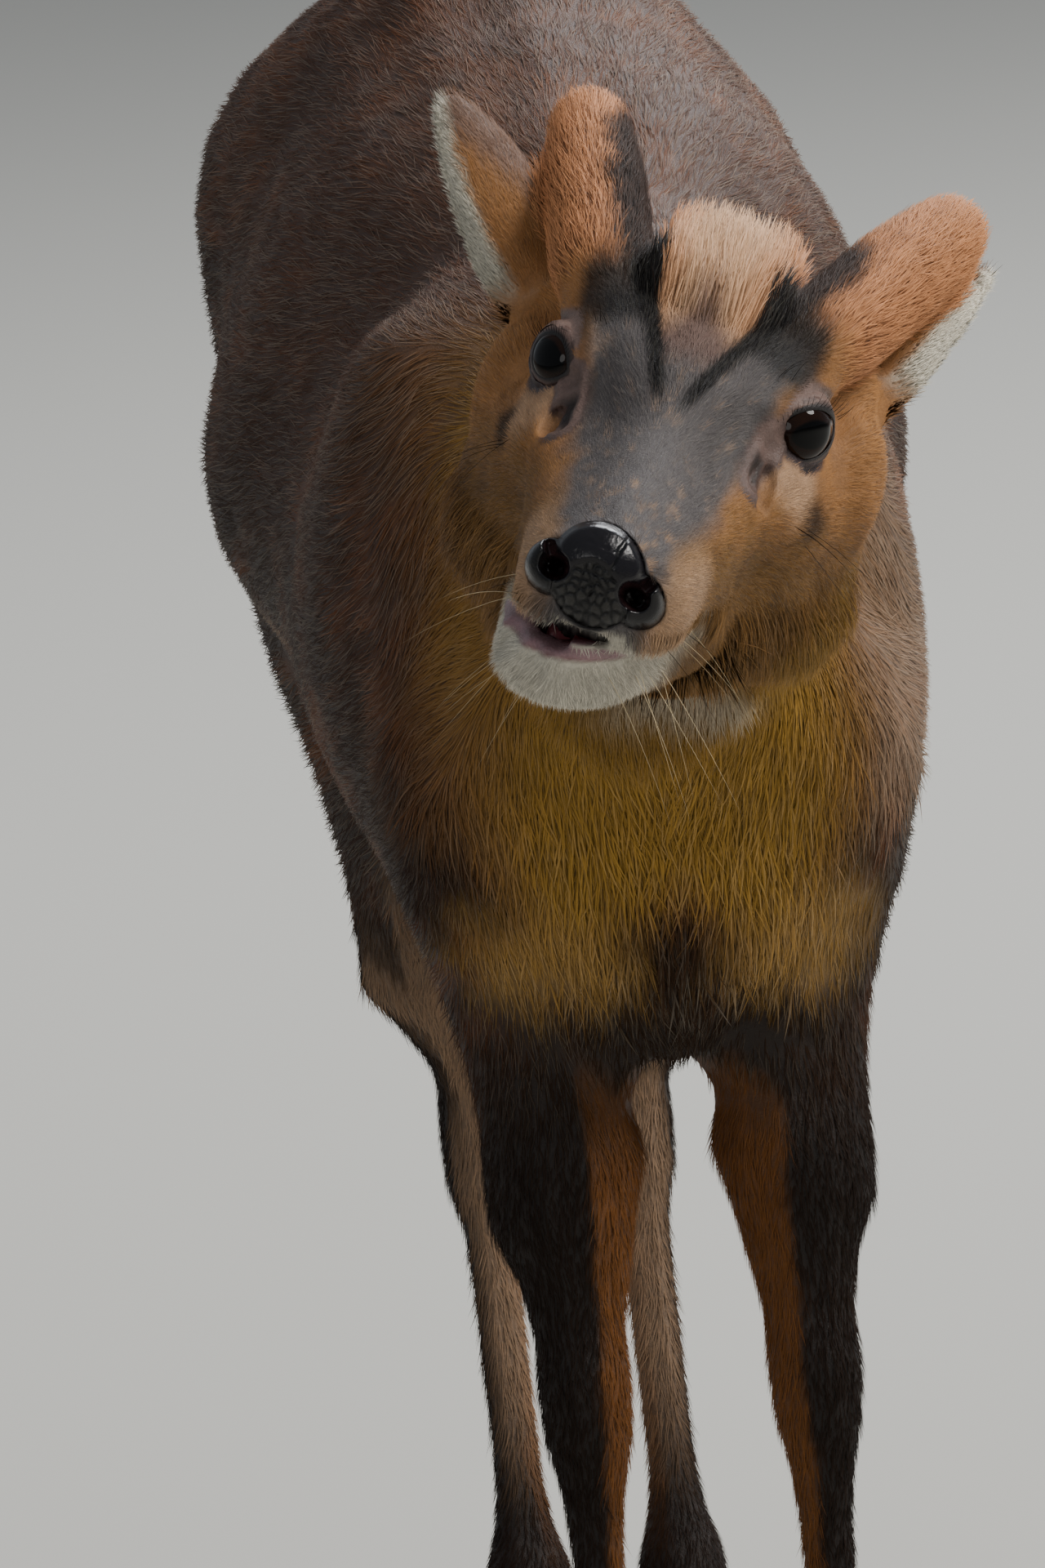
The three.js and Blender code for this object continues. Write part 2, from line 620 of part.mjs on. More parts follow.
both((s) => {
  const tip = s > 0 ? LEFT_EAR_TIP : RIGHT_EAR_TIP;
  const leaf = earLeaf(mirrored(s, EAR_ROOT), tip, mirrored(s, EAR_OPENING), EAR_HALF_WIDTH, EAR_THICKNESS);
  addNode(s > 0 ? "ear_left" : "ear_right", clearOf(solid(leaf, HEAD), underEars));
});

// Rows of locks lie back over the pad, the hindmost standing highest.
function crestLocks() {
  const locks = [];
  const random = stream(7);
  for (let row = 0; row < CREST_ROWS; row += 1) {
    const share = row / (CREST_ROWS - 1);
    const y = CREST_PLACE[1] - 17 + 34 * share;
    const count = 4 + Math.round(3 * Math.sin(Math.PI * (0.25 + 0.6 * share)));
    for (let i = 0; i < count; i += 1) {
      const across = ((i + 0.5) / count) * 2 - 1;
      const x = across * CREST_RADII[0] * 0.72;
      const rise = 1 - (x / CREST_RADII[0]) ** 2 - ((y - CREST_PLACE[1]) / CREST_RADII[1]) ** 2;
      const z = CREST_PLACE[2] + CREST_RADII[2] * Math.sqrt(rise) - 4;
      const towards = [across * 0.3 + 0.12 * (random() - 0.5), 1, 0.15 + 0.75 * share];
      const length = 15 + 7 * share + 3 * random();
      locks.push(solid(lock([x, y, z], towards, [0, 0.05, -0.14], [length, 4.6, 1.3]), HEAD));
    }
  }
  return locks;
}

const crestPad = solid(ball(CREST_RADII, 14, 10), HEAD.clone().multiply(placed(CREST_PLACE)));
addNode("crest", clearOf(join([crestPad, ...crestLocks()]), underEars));

// The neck, trunk and legs

const body = join([trunk, ...forelegs, ...hindlegs]);
const [behindSkull] = part(body, skullPlane, headBack);
const [neck, torso] = part(behindSkull, vector(NECK_CUT[0]), vector(NECK_CUT[1]));
addNode("neck", neck);
const [hindHalf, foreHalf] = part(torso, vector(LOIN_CUT[0]), vector(LOIN_CUT[1]));
const [thorax, forelimbs] = atHeight(foreHalf, ELBOW_CUT);
addNode("thorax", thorax);
const [rumpAndLegs, abdomen] = part(hindHalf, vector(FLANK_CUT[0]), vector(FLANK_CUT[1]));
addNode("abdomen", abdomen);
const [rump, hindlimbs] = atHeight(rumpAndLegs, STIFLE_CUT);
addNode("rump", rump);

const tailFlesh = melt(
  [
    limb([HIP_SHIFT, 252, 470], [HIP_SHIFT, 282, 440], 15, 14),
    limb([HIP_SHIFT, 282, 440], [HIP_SHIFT, 287, 470 - TAIL_LENGTH], 14, 7),
  ],
  BODY_BLEND,
);
const tailSpine = [
  [HIP_SHIFT, 254, 468],
  [HIP_SHIFT, 280, 438],
  [HIP_SHIFT, 287, 474 - TAIL_LENGTH],
].map(vector);
const tail = solid(castSkin(tailFlesh, tailSpine, { rows: 14, sides: 10, caps: 3, up: [0, 1, 0] }));
const tailLocks = Array.from({ length: TAIL_LOCKS }, (_, i) => {
  const share = (Math.floor(i / 2) + 0.5) / (TAIL_LOCKS / 2);
  const s = i % 2 ? 1 : -1;
  const root = [HIP_SHIFT + s * 6, 284, 440 - share * (TAIL_LENGTH - 50)];
  return solid(lock(root, [s * (0.5 - 0.35 * share), 0.1, -1], [0, -0.05, 0], TAIL_LOCK_SIZE));
});
addNode("tail", clearOf(join([tail, ...tailLocks]), [trunkGrown]));

function addLeg(name, limbs, s, footPlace, upperName, jointCut) {
  const [upper, lower] = atHeight(onSide(limbs, s), jointCut);
  const [cannon, footPiece] = atHeight(lower, FETLOCK_CUT);
  addNode(`${upperName}_${name}`, upper);
  addNode(`cannon_${name}`, cannon);
  const [x, y] = footPlace;
  const coronet = new THREE.Vector3(x, y - 12, HOOF_HEIGHT - 1);
  const slope = new THREE.Vector3(0, 0.28, 0.96);
  let [pastern] = part(footPiece, coronet, slope);
  for (const [side, t] of [["left", 1], ["right", -1]]) {
    const [, hoof] = part(claw(x, y, t), coronet, slope);
    addNode(`hoof_${name}_${side}`, hoof, materials.hoof);
    const place = placed([x + t * 7.5, y + 12, FETLOCK_HEIGHT - 7], [-24, t * 10, 0]);
    addNode(`dewclaw_${name}_${side}`, solid(ball([3.4, 4, 7.5], 6, 5), place), materials.hoof);
    pastern = pastern.subtract(solid(ball([3.4, 4, 7.5].map((r) => r + GAP), 6, 5), place));
  }
  addNode(`foot_${name}`, pastern);
}

for (const [side, s] of [["left", 1], ["right", -1]]) {
  addLeg(`front_${side}`, forelimbs, s, [s * FORELEG_X, FORELEG_Y], "forearm", KNEE_CUT);
  addLeg(`hind_${side}`, hindlimbs, s, [s * HINDLEG_X, HIND_FOOT_Y], "shank", HOCK_CUT);
}

// The origin lies on the ground under the middle of the whole box.
const bounds = new THREE.Box3().setFromObject(group);
const middle = bounds.getCenter(new THREE.Vector3());
group.position.set(-middle.x, -middle.y, -bounds.min.z);

export default group;
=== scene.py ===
"""A life-size muntjac buck: one skin under a short dense coat, with eyes, nose, mouth and hooves of its own.

Lengths are in metres unless a name ends in mm or a comment says so. The head has its own frame in
millimetres: its origin lies between the eyes, -Y points to the nose, +X to the animal's left and +Z to the
crown. A mask is a share from 0 to 1 for each place on the skin, and its soft edges are in millimetres.
A side s is 1 for the animal's left and -1 for its right.
"""

import math

import bmesh
import bpy
import numpy as np
from mathutils import Matrix, Vector
from mathutils.bvhtree import BVHTree

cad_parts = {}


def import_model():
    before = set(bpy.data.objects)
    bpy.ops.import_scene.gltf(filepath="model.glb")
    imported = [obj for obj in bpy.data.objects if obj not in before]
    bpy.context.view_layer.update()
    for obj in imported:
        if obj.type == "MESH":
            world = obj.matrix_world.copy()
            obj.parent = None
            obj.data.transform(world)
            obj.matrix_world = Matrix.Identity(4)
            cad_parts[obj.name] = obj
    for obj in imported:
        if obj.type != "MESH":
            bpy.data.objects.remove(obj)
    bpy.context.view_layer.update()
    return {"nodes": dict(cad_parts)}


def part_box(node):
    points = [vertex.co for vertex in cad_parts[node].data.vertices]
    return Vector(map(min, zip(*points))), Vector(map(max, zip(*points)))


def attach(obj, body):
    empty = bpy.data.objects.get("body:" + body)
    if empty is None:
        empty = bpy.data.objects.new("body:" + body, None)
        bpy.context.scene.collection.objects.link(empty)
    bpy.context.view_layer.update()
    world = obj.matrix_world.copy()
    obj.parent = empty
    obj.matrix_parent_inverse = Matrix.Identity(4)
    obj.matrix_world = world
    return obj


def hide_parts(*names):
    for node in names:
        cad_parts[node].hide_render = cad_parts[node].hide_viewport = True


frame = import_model()
MM = 0.001
SIDES = {1: "left", -1: "right"}
LEGS = ("front_left", "front_right", "hind_left", "hind_right")
DOWN = (0, 0, -1.0)
UP = (0, 0, 1)

# The head in its own frame, in millimetres and degrees

HEAD_NOD = 4.7
HEAD_TILT = 20.4
HEAD_TURN = -16.3
CAD_EYE_PLACE = (28, 1, 1)
EYE_RADIUS = 12.5
EYEBALL_PLACE = (31, 1, 0.5)
EYE_AXIS = (0.64, -0.745, 0.18)
EYELIDS_WIDE = {1: 11.2, -1: 7.6}
EYELIDS_HIGH = {1: 7.6, -1: 6.5}
JAW_HINGE = (0, 48, -26)
JAW_GAPE = 3.6
JAW_ROLL = -9
JAW_SWING = -6
MOUTH_MIDDLE = (-5, -62, -50)
MOUTH_RADII = (14, 28, 8.5)
MOUTH_ROOF = -47
PEDICLE_ROOT = (27, 6, 16)
PEDICLE_TIP = (53, 92, 43)
PEDICLE_RADIUS = 15.2
PEDICLE_END = 18
PEDICLE_SUNK = 4
PEDICLE_TAPER = 0.12
EAR_ROOT = (38, 50, -8)
EAR_TIPS = {1: (66, 106, 34), -1: (-94, 72, 47)}
EAR_THICKER = 0.7
EAR_OPENING = (0.72, 0.62, -0.3)
EAR_BASE_PLACE = (46, 34, -22)
EAR_BASE_RADII = (15, 22, 26)
CREST_PLACE = (0, 26, 25)
CREST_RADII = (24, 26, 13)
GLAND_TOP = (29.5, -17, 0)
GLAND_END = (29.5, -30, -9)
THROAT_PLACE = (2, 48, -80)
THROAT_RADII = (36, 36, 20)
HEAD_CORE = (0, 0, -20)

# The nose in millimetres, seen from in front in a frame that leans back with its face

NOSE_MIDDLE = -2
NOSE_ROLL = 0.08
NOSE_LEAN = math.radians(20)
NOSE_HEIGHT = 60
NOSE_RADIUS = 13.6
NOSE_LOWER = 16
NOSE_AHEAD = 88
NOSE_THICK = 4
NOSE_BACK = -85
NOSE_BARE_BACK = -75
NOSE_WIDE = 25
NOSE_HIGH = 18
NOSE_FLANGE = 3
NOSE_STEP = 0.42
WING_PLACE = (13, -3.4)
WING_RADIUS = 7.5
NOSTRIL_PLACE = (11.8, -3)
NOSTRIL_RADII = (4.3, 3.7)
NOSTRIL_DEEP = 6.5
WING_RISE = 2.4
DOME_RISE = 1.2
COBBLE_RISE = 1.0
GROOVE_DEEP = 0.6
CREASE_DEEP = 0.5
PORE_DEEP = 0.2
COBBLE_MM = 2.7

# The skin, in millimetres: its faces, how far nodes grow into each other, and how far it sinks under the nose

SKIN_STEP = 1.5
SKIN_TRIANGLES = 180000
SKIN_OVERLAP = 0.35
SKIN_ROUNDS = 110
ROOT_ROUNDS = 24
FOLD_BACK = 0.8
UNDER_NOSE = 9

# Coat by region: how deep the skin lies under the solids, the length and width of a tuft, how many tufts
# stand on a square centimetre, and how far a tip rises off the skin; lengths in millimetres

COAT = {
    "face": (1.7, 5.0, 0.30, 172, 1.1),
    "jaw": (1.6, 5.5, 0.30, 170, 1.3),
    "lid": (1.0, 2.4, 0.22, 260, 0.6),
    "muzzle": (1.2, 3.0, 0.26, 240, 0.8),
    "pedicle": (2.2, 9.0, 0.38, 98, 2.6),
    "ear": (0.9, 5.0, 0.32, 130, 1.1),
    "crest": (2.0, 12.0, 0.38, 170, 15.0),
    "neck": (4.6, 13.0, 0.58, 61, 2.0),
    "trunk": (4.6, 12.0, 0.55, 32, 1.2),
    "chest": (5.0, 16.0, 0.62, 50, 4.5),
    "leg": (2.6, 8.0, 0.52, 51, 1.6),
    "foot": (1.6, 5.5, 0.45, 70, 1.2),
    "tail": (5.5, 18.0, 0.80, 60, 3.0),
}
DEPTH, LENGTH, WIDTH, DENSITY, RISE = range(5)

# The body in millimetres: its middle plane, where legs and tail start, and its pale patches

BODY_MIDDLE = -5
LEG_TOP = 305
TAIL_START = 330
THROAT_PATCH = (-8, -183, 371)
THROAT_PATCH_RADII = (24, 16, 8)
CHEST_TUFT_PLACE = (42, -130, 290)
CHEST_TUFT_RADII = (0.9, 1, 0.65)

# In metres: heights above which head and face lie, and the middles that coat pieces are unwrapped about

HEAD_ABOVE = 0.33
FACE_ABOVE = 0.36
CHEST_CORE = (-0.006, 0, 0.3)
TRUNK_CORE = (-0.006, 0, 0.42)
TAIL_CORE = (-0.006, 0.35, 0.45)


# Arrays and frames


def smooth(low, high, value):
    """A soft step: 0 up to low and 1 from high on, and the other way round where low is the larger."""
    share = np.clip((value - low) / (high - low), 0, 1)
    return share * share * (3 - 2 * share)


def between(low, high, value, soft):
    """1 between two values and 0 beyond them, with soft edges."""
    return smooth(low - soft, low + soft, value) * smooth(high + soft, high - soft, value)


def mixed(a, b, share):
    """One row or rows of a turned into b by a share for each row."""
    share = np.asarray(share)[..., None]
    return a * (1 - share) + np.asarray(b) * share


def painted(colours, *layers):
    """Colours with layers laid over them, each a colour and its mask."""
    for colour, mask in layers:
        colours = mixed(colours, colour, mask)
    return colours


def unit(vectors):
    """Rows brought to length 1."""
    return vectors / np.maximum(np.linalg.norm(vectors, axis=-1, keepdims=True), 1e-12)


def noise(points, size, seed=0):
    """Smooth noise from -1 to 1, whose patches are about the given size in millimetres."""
    cell = points / (size * MM) + 11.7 * seed
    base = np.floor(cell)
    share = cell - base
    share = share * share * (3 - 2 * share)
    total = np.zeros(len(points))
    for corner in np.ndindex(2, 2, 2):
        weight = np.prod(np.where(corner, share, 1 - share), axis=1)
        wave = np.sin((base + corner) @ (12.9898, 78.233, 37.719) + seed) * 43758.5453
        total += weight * (wave - np.floor(wave))
    return 2 * total - 1


def paint(code):
    """A colour as it is seen on a screen, turned into linear light."""
    values = np.array([int(code[i : i + 2], 16) for i in (1, 3, 5)]) / 255
    return np.where(values < 0.04045, values / 12.92, ((values + 0.055) / 1.055) ** 2.4)


def turned(nod, tilt, turn):
    """A turn: tilt about Y, then nod about X, then turn about Z, in degrees."""
    result = Matrix.Identity(4)
    for angle, axis in zip((turn, nod, tilt), "ZXY"):
        result = result @ Matrix.Rotation(math.radians(angle), 4, axis)
    return result


def head_matrix():
    """The head's frame, scaled so that it takes millimetres."""
    middle = sum((sum(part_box(f"eye_{side}"), Vector()) for side in SIDES.values()), Vector()) / 4
    turn = turned(HEAD_NOD, HEAD_TILT, HEAD_TURN)
    origin = middle - turn @ Vector((0, *CAD_EYE_PLACE[1:])) * MM
    return Matrix.Translation(origin) @ turn @ Matrix.Scale(MM, 4)


HEAD = head_matrix()
JAW_TURN = turned(JAW_GAPE, JAW_ROLL, JAW_SWING)
JAW = HEAD @ Matrix.Translation(JAW_HINGE) @ JAW_TURN @ Matrix.Translation(-Vector(JAW_HINGE))


def local(points, matrix=HEAD):
    """Points in metres as seen in a frame."""
    back = np.array(matrix.inverted())
    return points @ back[:3, :3].T + back[:3, 3]


def world(points, matrix=HEAD):
    """Points of a frame as places in metres."""
    out = np.array(matrix)
    return np.asarray(points, float) @ out[:3, :3].T + out[:3, 3]


def direction(vectors, matrix=HEAD):
    """Directions of a frame as unit directions of the whole animal."""
    return unit(np.asarray(vectors, float) @ np.array(matrix)[:3, :3].T)


def sided(place, s):
    """A place or direction given for the left side, or its mirror on the right."""
    return np.array((s * place[0], *place[1:]), float)


def around(points, middle, radii=(1, 1, 1)):
    """How far points lie from a middle, each way measured against a radius."""
    return np.linalg.norm((points - middle) / radii, axis=1)


def along_line(points, start, end):
    """How far points lie from a line between two points, and their share of the way along it."""
    start, end = np.array(start, float), np.array(end, float)
    line = end - start
    share = np.clip((points - start) @ line / (line @ line), 0, 1)
    return np.linalg.norm(points - start - share[:, None] * line, axis=1), share


# Meshes


def rows_of(items, name):
    """A vector that each of a mesh's items has, as rows."""
    values = np.empty(len(items) * 3, np.float32)
    items.foreach_get(name, values)
    return values.reshape(-1, 3).astype(float)


def coordinates(mesh):
    return rows_of(mesh.vertices, "co")


def normals_of(mesh):
    return rows_of(mesh.vertex_normals, "vector")


def set_coordinates(mesh, places):
    mesh.vertices.foreach_set("co", np.asarray(places, np.float32).ravel())
    mesh.update()


def pushed_out(mesh, height_mm):
    """Where the vertices lie once they have moved out along their normals."""
    return coordinates(mesh) + normals_of(mesh) * np.reshape(height_mm, (-1, 1)) * MM


def new_object(name, data):
    thing = bpy.data.objects.new(name, data)
    bpy.context.scene.collection.objects.link(thing)
    return thing


def object_from(name, bm):
    """A named object from a finished bmesh."""
    mesh = bpy.data.meshes.new(name)
    bm.to_mesh(mesh)
    bm.free()
    return new_object(name, mesh)


def modified(thing, name, kind, **settings):
    """The object with one modifier worked into its mesh."""
    modifier = thing.modifiers.new(name, kind)
    for setting, value in settings.items():
        setattr(modifier, setting, value)
    bpy.context.view_layer.update()
    depsgraph = bpy.context.evaluated_depsgraph_get()
    mesh = bpy.data.meshes.new_from_object(thing.evaluated_get(depsgraph))
    thing.modifiers.clear()
    thing.data = mesh
    return thing


def gathered(name, nodes, grow_mm):
    """Copies of CAD nodes as one object, each merged and grown past its thin gap."""
    bm = bmesh.new()
    for node in nodes:
        bm.from_mesh(frame["nodes"][node].data)
    bmesh.ops.remove_doubles(bm, verts=bm.verts, dist=1e-6)
    bm.normal_update()
    for vert in bm.verts:
        vert.co += vert.normal * grow_mm * MM
    return object_from(name, bm)


def remeshed(thing, voxel_mm):
    return modified(thing, "Even faces", "REMESH", mode="VOXEL", voxel_size=voxel_mm * MM)


def relaxed(thing, rounds, weights=None):
    """The surface smoothed, more where the weights are larger."""
    settings = {"factor": 0.5, "iterations": rounds}
    if weights is not None:
        group = thing.vertex_groups.new(name="Relax")
        steps = np.round(np.clip(weights, 0, 1) * 20).astype(int)
        for step in range(1, 21):
            group.add(np.flatnonzero(steps == step).tolist(), step / 20, "REPLACE")
        settings["vertex_group"] = "Relax"
    modified(thing, "Relax", "SMOOTH", **settings)
    thing.vertex_groups.clear()
    return thing


def give_colour(mesh, colours):
    """A colour for each vertex, for the materials to read."""
    attribute = mesh.color_attributes.new("Coat", "FLOAT_COLOR", "POINT")
    rows = np.ones((len(mesh.vertices), 4), np.float32)
    rows[:, :3] = colours
    attribute.data.foreach_set("color", rows.ravel())


def give_wetness(mesh, values):
    """How wet each vertex is, for the materials whose gloss follows it."""
    attribute = mesh.attributes.new("Wet", "FLOAT", "POINT")
    attribute.data.foreach_set("value", np.asarray(values, np.float32))


def give_patches(mesh, corner_places):
    """A flat map with a place for each corner of each face."""
    uv = mesh.uv_layers.new(name="OFBake")
    uv.data.foreach_set("uv", corner_places.astype(np.float32).ravel())


def finished(thing, material, slot, *nodes):
    """A piece that rides with the body, with its material and the CAD nodes that it stands for."""
    thing.data.materials.clear()
    thing.data.materials.append(material)
    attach(thing, "root")
    if nodes:
        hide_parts(*nodes)


def coloured(thing, colours, material, slot, *nodes):
    """A piece made whole, smoothly shaded and with its own colours."""
    give_colour(thing.data, colours)
    thing.data.shade_smooth()
    finished(thing, material, slot, *nodes)


# The skin

TRUNK_NODES = ["neck", "thorax", "abdomen", "rump", "tail"]
UPPER_LEGS = {leg: "forearm" if "front" in leg else "shank" for leg in LEGS}
LEG_NODES = [f"{part}_{leg}" for leg in LEGS for part in (UPPER_LEGS[leg], "cannon", "foot")]
BODY_NODES = ["head", "lower_jaw", *TRUNK_NODES, *LEG_NODES]
HEAD_NODES = ["ear_left", "ear_right", "pedicle_left", "pedicle_right", "crest"]


def eye_distance(at_head):
    """How far points in the head's frame lie from the nearer eye's middle."""
    return np.min([around(at_head, sided(EYEBALL_PLACE, s)) for s in SIDES], axis=0)


def eye_frame(s):
    """An eye's frame in millimetres: X along the lids, Y up, Z out of the head."""
    outward = Vector(sided(EYE_AXIS, s)).normalized()
    along = Vector((0, -0.3, 1)).cross(outward).normalized()
    turn = Matrix((along, outward.cross(along), outward)).transposed().to_4x4()
    return HEAD @ Matrix.Translation(sided(EYEBALL_PLACE, s)) @ turn


def gland_distance(at_head, s):
    """How far points lie from the scent gland under an eye, and their share of the way down it."""
    return along_line(at_head, sided(GLAND_TOP, s), sided(GLAND_END, s))


def pedicle_ends(s):
    return sided(PEDICLE_ROOT, s), sided(PEDICLE_TIP, s)


def ear_line(s):
    """The way from an ear's root to its tip, in the head's frame."""
    return np.array(EAR_TIPS[s]) - sided(EAR_ROOT, s)


def add_pedicle(bm, s):
    """The bony pedicle under its fur: a rounded rod that narrows a little to its end."""
    root, tip = (Vector(end) for end in pedicle_ends(s))
    axis = tip - root
    turn = axis.to_track_quat("Z", "Y").to_matrix()
    made = bmesh.ops.create_uvsphere(bm, u_segments=32, v_segments=40, radius=1)
    for vert in made["verts"]:
        along = vert.co.z
        fullness = (1 - abs(along) ** 9) ** 0.5 / max(vert.co.xy.length, 1e-6)
        taper = 1 - PEDICLE_TAPER * float(smooth(0.1, 0.9, along))
        across = vert.co.xy.to_3d() * PEDICLE_RADIUS * taper * (fullness if abs(along) < 0.999 else 0)
        up = Vector((0, 0, (along + 1) / 2 * (axis.length + PEDICLE_END) - PEDICLE_SUNK))
        vert.co = HEAD @ (root + turn @ (across + up))


def add_mound(bm, middle, radii):
    """A rounded mass of flesh in the head's frame."""
    made = bmesh.ops.create_icosphere(bm, subdivisions=4, radius=1)
    for vert in made["verts"]:
        vert.co = HEAD @ (Vector(middle) + vert.co * Vector(radii))


def ear_skin(side):
    """The leaf of an ear, from its solid, rounded and a little thicker, so that even faces can hold it."""
    ear = gathered("ear skin", [f"ear_{side}"], 0)
    bm = bmesh.new()
    bm.from_mesh(ear.data)
    bmesh.ops.join_triangles(bm, faces=bm.faces, angle_face_threshold=0.7, angle_shape_threshold=0.9)
    bm.to_mesh(ear.data)
    bm.free()
    mesh = modified(ear, "Round", "SUBSURF", levels=2, render_levels=2).data
    set_coordinates(mesh, pushed_out(mesh, EAR_THICKER))
    bpy.data.objects.remove(ear)
    return mesh


def regions(places):
    """Soft masks for the parts of the body that the coat differs on."""
    at_head = local(places)
    _, y, z = at_head.T
    ahead, height = places[:, 1] / MM, places[:, 2] / MM
    masks = {"trunk": np.ones(len(places))}
    masks["leg"] = smooth(LEG_TOP, 215, height)
    masks["foot"] = smooth(85, 50, height)
    masks["tail"] = smooth(TAIL_START, 344, ahead) * smooth(505, 480, height)
    masks["chest"] = smooth(-110, -160, ahead) * between(245, 345, height, 20)
    masks["neck"] = smooth(150, 105, y) * (height > 290)
    masks["face"] = smooth(82, 66, y) * smooth(-150, -120, z) * (height > 330)
    masks["jaw"] = masks["face"] * smooth(-48, -58, z)
    masks["lid"] = masks["face"] * smooth(25, 18, eye_distance(at_head))
    for s in SIDES:
        masks["lid"] = np.maximum(masks["lid"], masks["face"] * smooth(15, 9, gland_distance(at_head, s)[0]))
    masks["muzzle"] = smooth(-30, -60, y) * smooth(-64, -54, z) * masks["face"]
    masks["crest"] = smooth(1.25, 0.95, around(at_head, CREST_PLACE, CREST_RADII)) * smooth(18, 24, z)
    for s in SIDES:
        leaf, share = along_line(at_head, sided(EAR_ROOT, s), EAR_TIPS[s])
        on_leaf = smooth(26, 22, leaf) * smooth(0.16, 0.3, share) * (y > 42)
        past = smooth(13, 9, leaf) * smooth(0.45, 0.6, share)
        away, share = along_pedicle(at_head, s)
        rod = smooth(PEDICLE_RADIUS + 3, PEDICLE_RADIUS, away) * smooth(0.03, 0.14, share)
        rod = rod * (1 - past)
        masks["pedicle"] = np.maximum(masks.get("pedicle", 0), rod)
        masks["ear"] = np.maximum(masks.get("ear", 0), on_leaf * (1 - rod))
    return masks


def along_pedicle(at_head, s):
    """How far points lie from a pedicle's axis, which runs on a fifth past its tip, and their share of it."""
    root, tip = pedicle_ends(s)
    return along_line(at_head, root, root + (tip - root) * 1.2)


def layered(masks, column):
    """One of the coat's measures at every point, each region laid over those before it."""
    first, *others = masks
    value = masks[first] * COAT[first][column]
    for region in others:
        value = value + (COAT[region][column] - value) * masks[region]
    return value


def folds(at_head, places):
    """How far the bare folds round the eyes and glands stand out of the skin, in millimetres."""
    height = np.zeros(len(places))
    for s in SIDES:
        seen = local(places, eye_frame(s))
        outside = np.hypot(seen[:, 0], seen[:, 1] * 1.2)
        facing = smooth(-4, 6, seen[:, 2]) * smooth(34, 24, np.linalg.norm(seen, axis=1))
        upper = smooth(-4, 5, seen[:, 1])
        roll = between(15.5, 18.0, outside, 2.2) - 0.7 * between(11.8, 13.0, outside, 1.4)
        pouch = 0.5 * between(16.5, 18.5, outside, 2.0) - 0.5 * between(12.6, 13.6, outside, 1.2)
        height += facing * (upper * 1.2 * roll + (1 - upper) * pouch)
        near, share = gland_distance(at_head, s)
        trough = 1.1 * between(3.6, 5.4, near, 1.4) - 3.0 * smooth(3.4, 0.8, near) * smooth(0.3, 0.8, share)
        height += trough + 0.5 * np.sin(share * 12 + s) * smooth(5, 2, near)
    return height


def opening_share(seen, s):
    """How far out places in an eye's frame lie, where 1 is the rim of its opening."""
    return np.hypot(seen[:, 0] / EYELIDS_WIDE[s], seen[:, 1] / EYELIDS_HIGH[s])


def round_eyes(places):
    """The skin drawn up to the rim of each eye's opening, and kept under the eyeball inside it."""
    for s in SIDES:
        eye = eye_frame(s)
        seen = local(places, eye)
        away = np.linalg.norm(seen, axis=1)
        opening = opening_share(seen, s)
        beyond = np.maximum(opening - 1, 0)
        highest = EYE_RADIUS - 2 + 2.5 * smooth(0.8, 0.94, opening) + 9 * beyond
        lowest = (EYE_RADIUS + 0.45) * smooth(0.84, 0.94, opening) + 0.7 * between(1.02, 1.25, opening, 0.06)
        wanted = np.clip(away, lowest, highest)
        share = smooth(-5, 2, seen[:, 2]) * smooth(30, 24, away)
        places = mixed(places, world(seen * (wanted / away)[:, None], eye), share)
    return places


def ripples(places):
    """The soft upright waves in the coat of the back and flanks, in millimetres."""
    masks = regions(places)
    trunk = (1 - masks["leg"]) * (1 - masks["face"]) * (1 - masks["ear"]) * (1 - masks["pedicle"])
    waves = noise(places * (1, 1, 0.4), 24, 12) + 0.5 * noise(places * (1, 1, 0.5), 11, 13)
    return 1.3 * trunk * waves * smooth(-150, -90, places[:, 1] / MM)


def skin_mass():
    """Body, head, pedicles, ears and the flesh that joins them, as one closed mesh of even faces."""
    skin = gathered("skin", [*BODY_NODES, "nose"], SKIN_OVERLAP)
    bm = bmesh.new()
    bm.from_mesh(skin.data)
    for s, side in SIDES.items():
        add_pedicle(bm, s)
        bm.from_mesh(ear_skin(side))
        add_mound(bm, sided(EAR_BASE_PLACE, s), EAR_BASE_RADII)
    add_mound(bm, THROAT_PLACE, THROAT_RADII)
    bm.to_mesh(skin.data)
    bm.free()
    return remeshed(skin, SKIN_STEP)


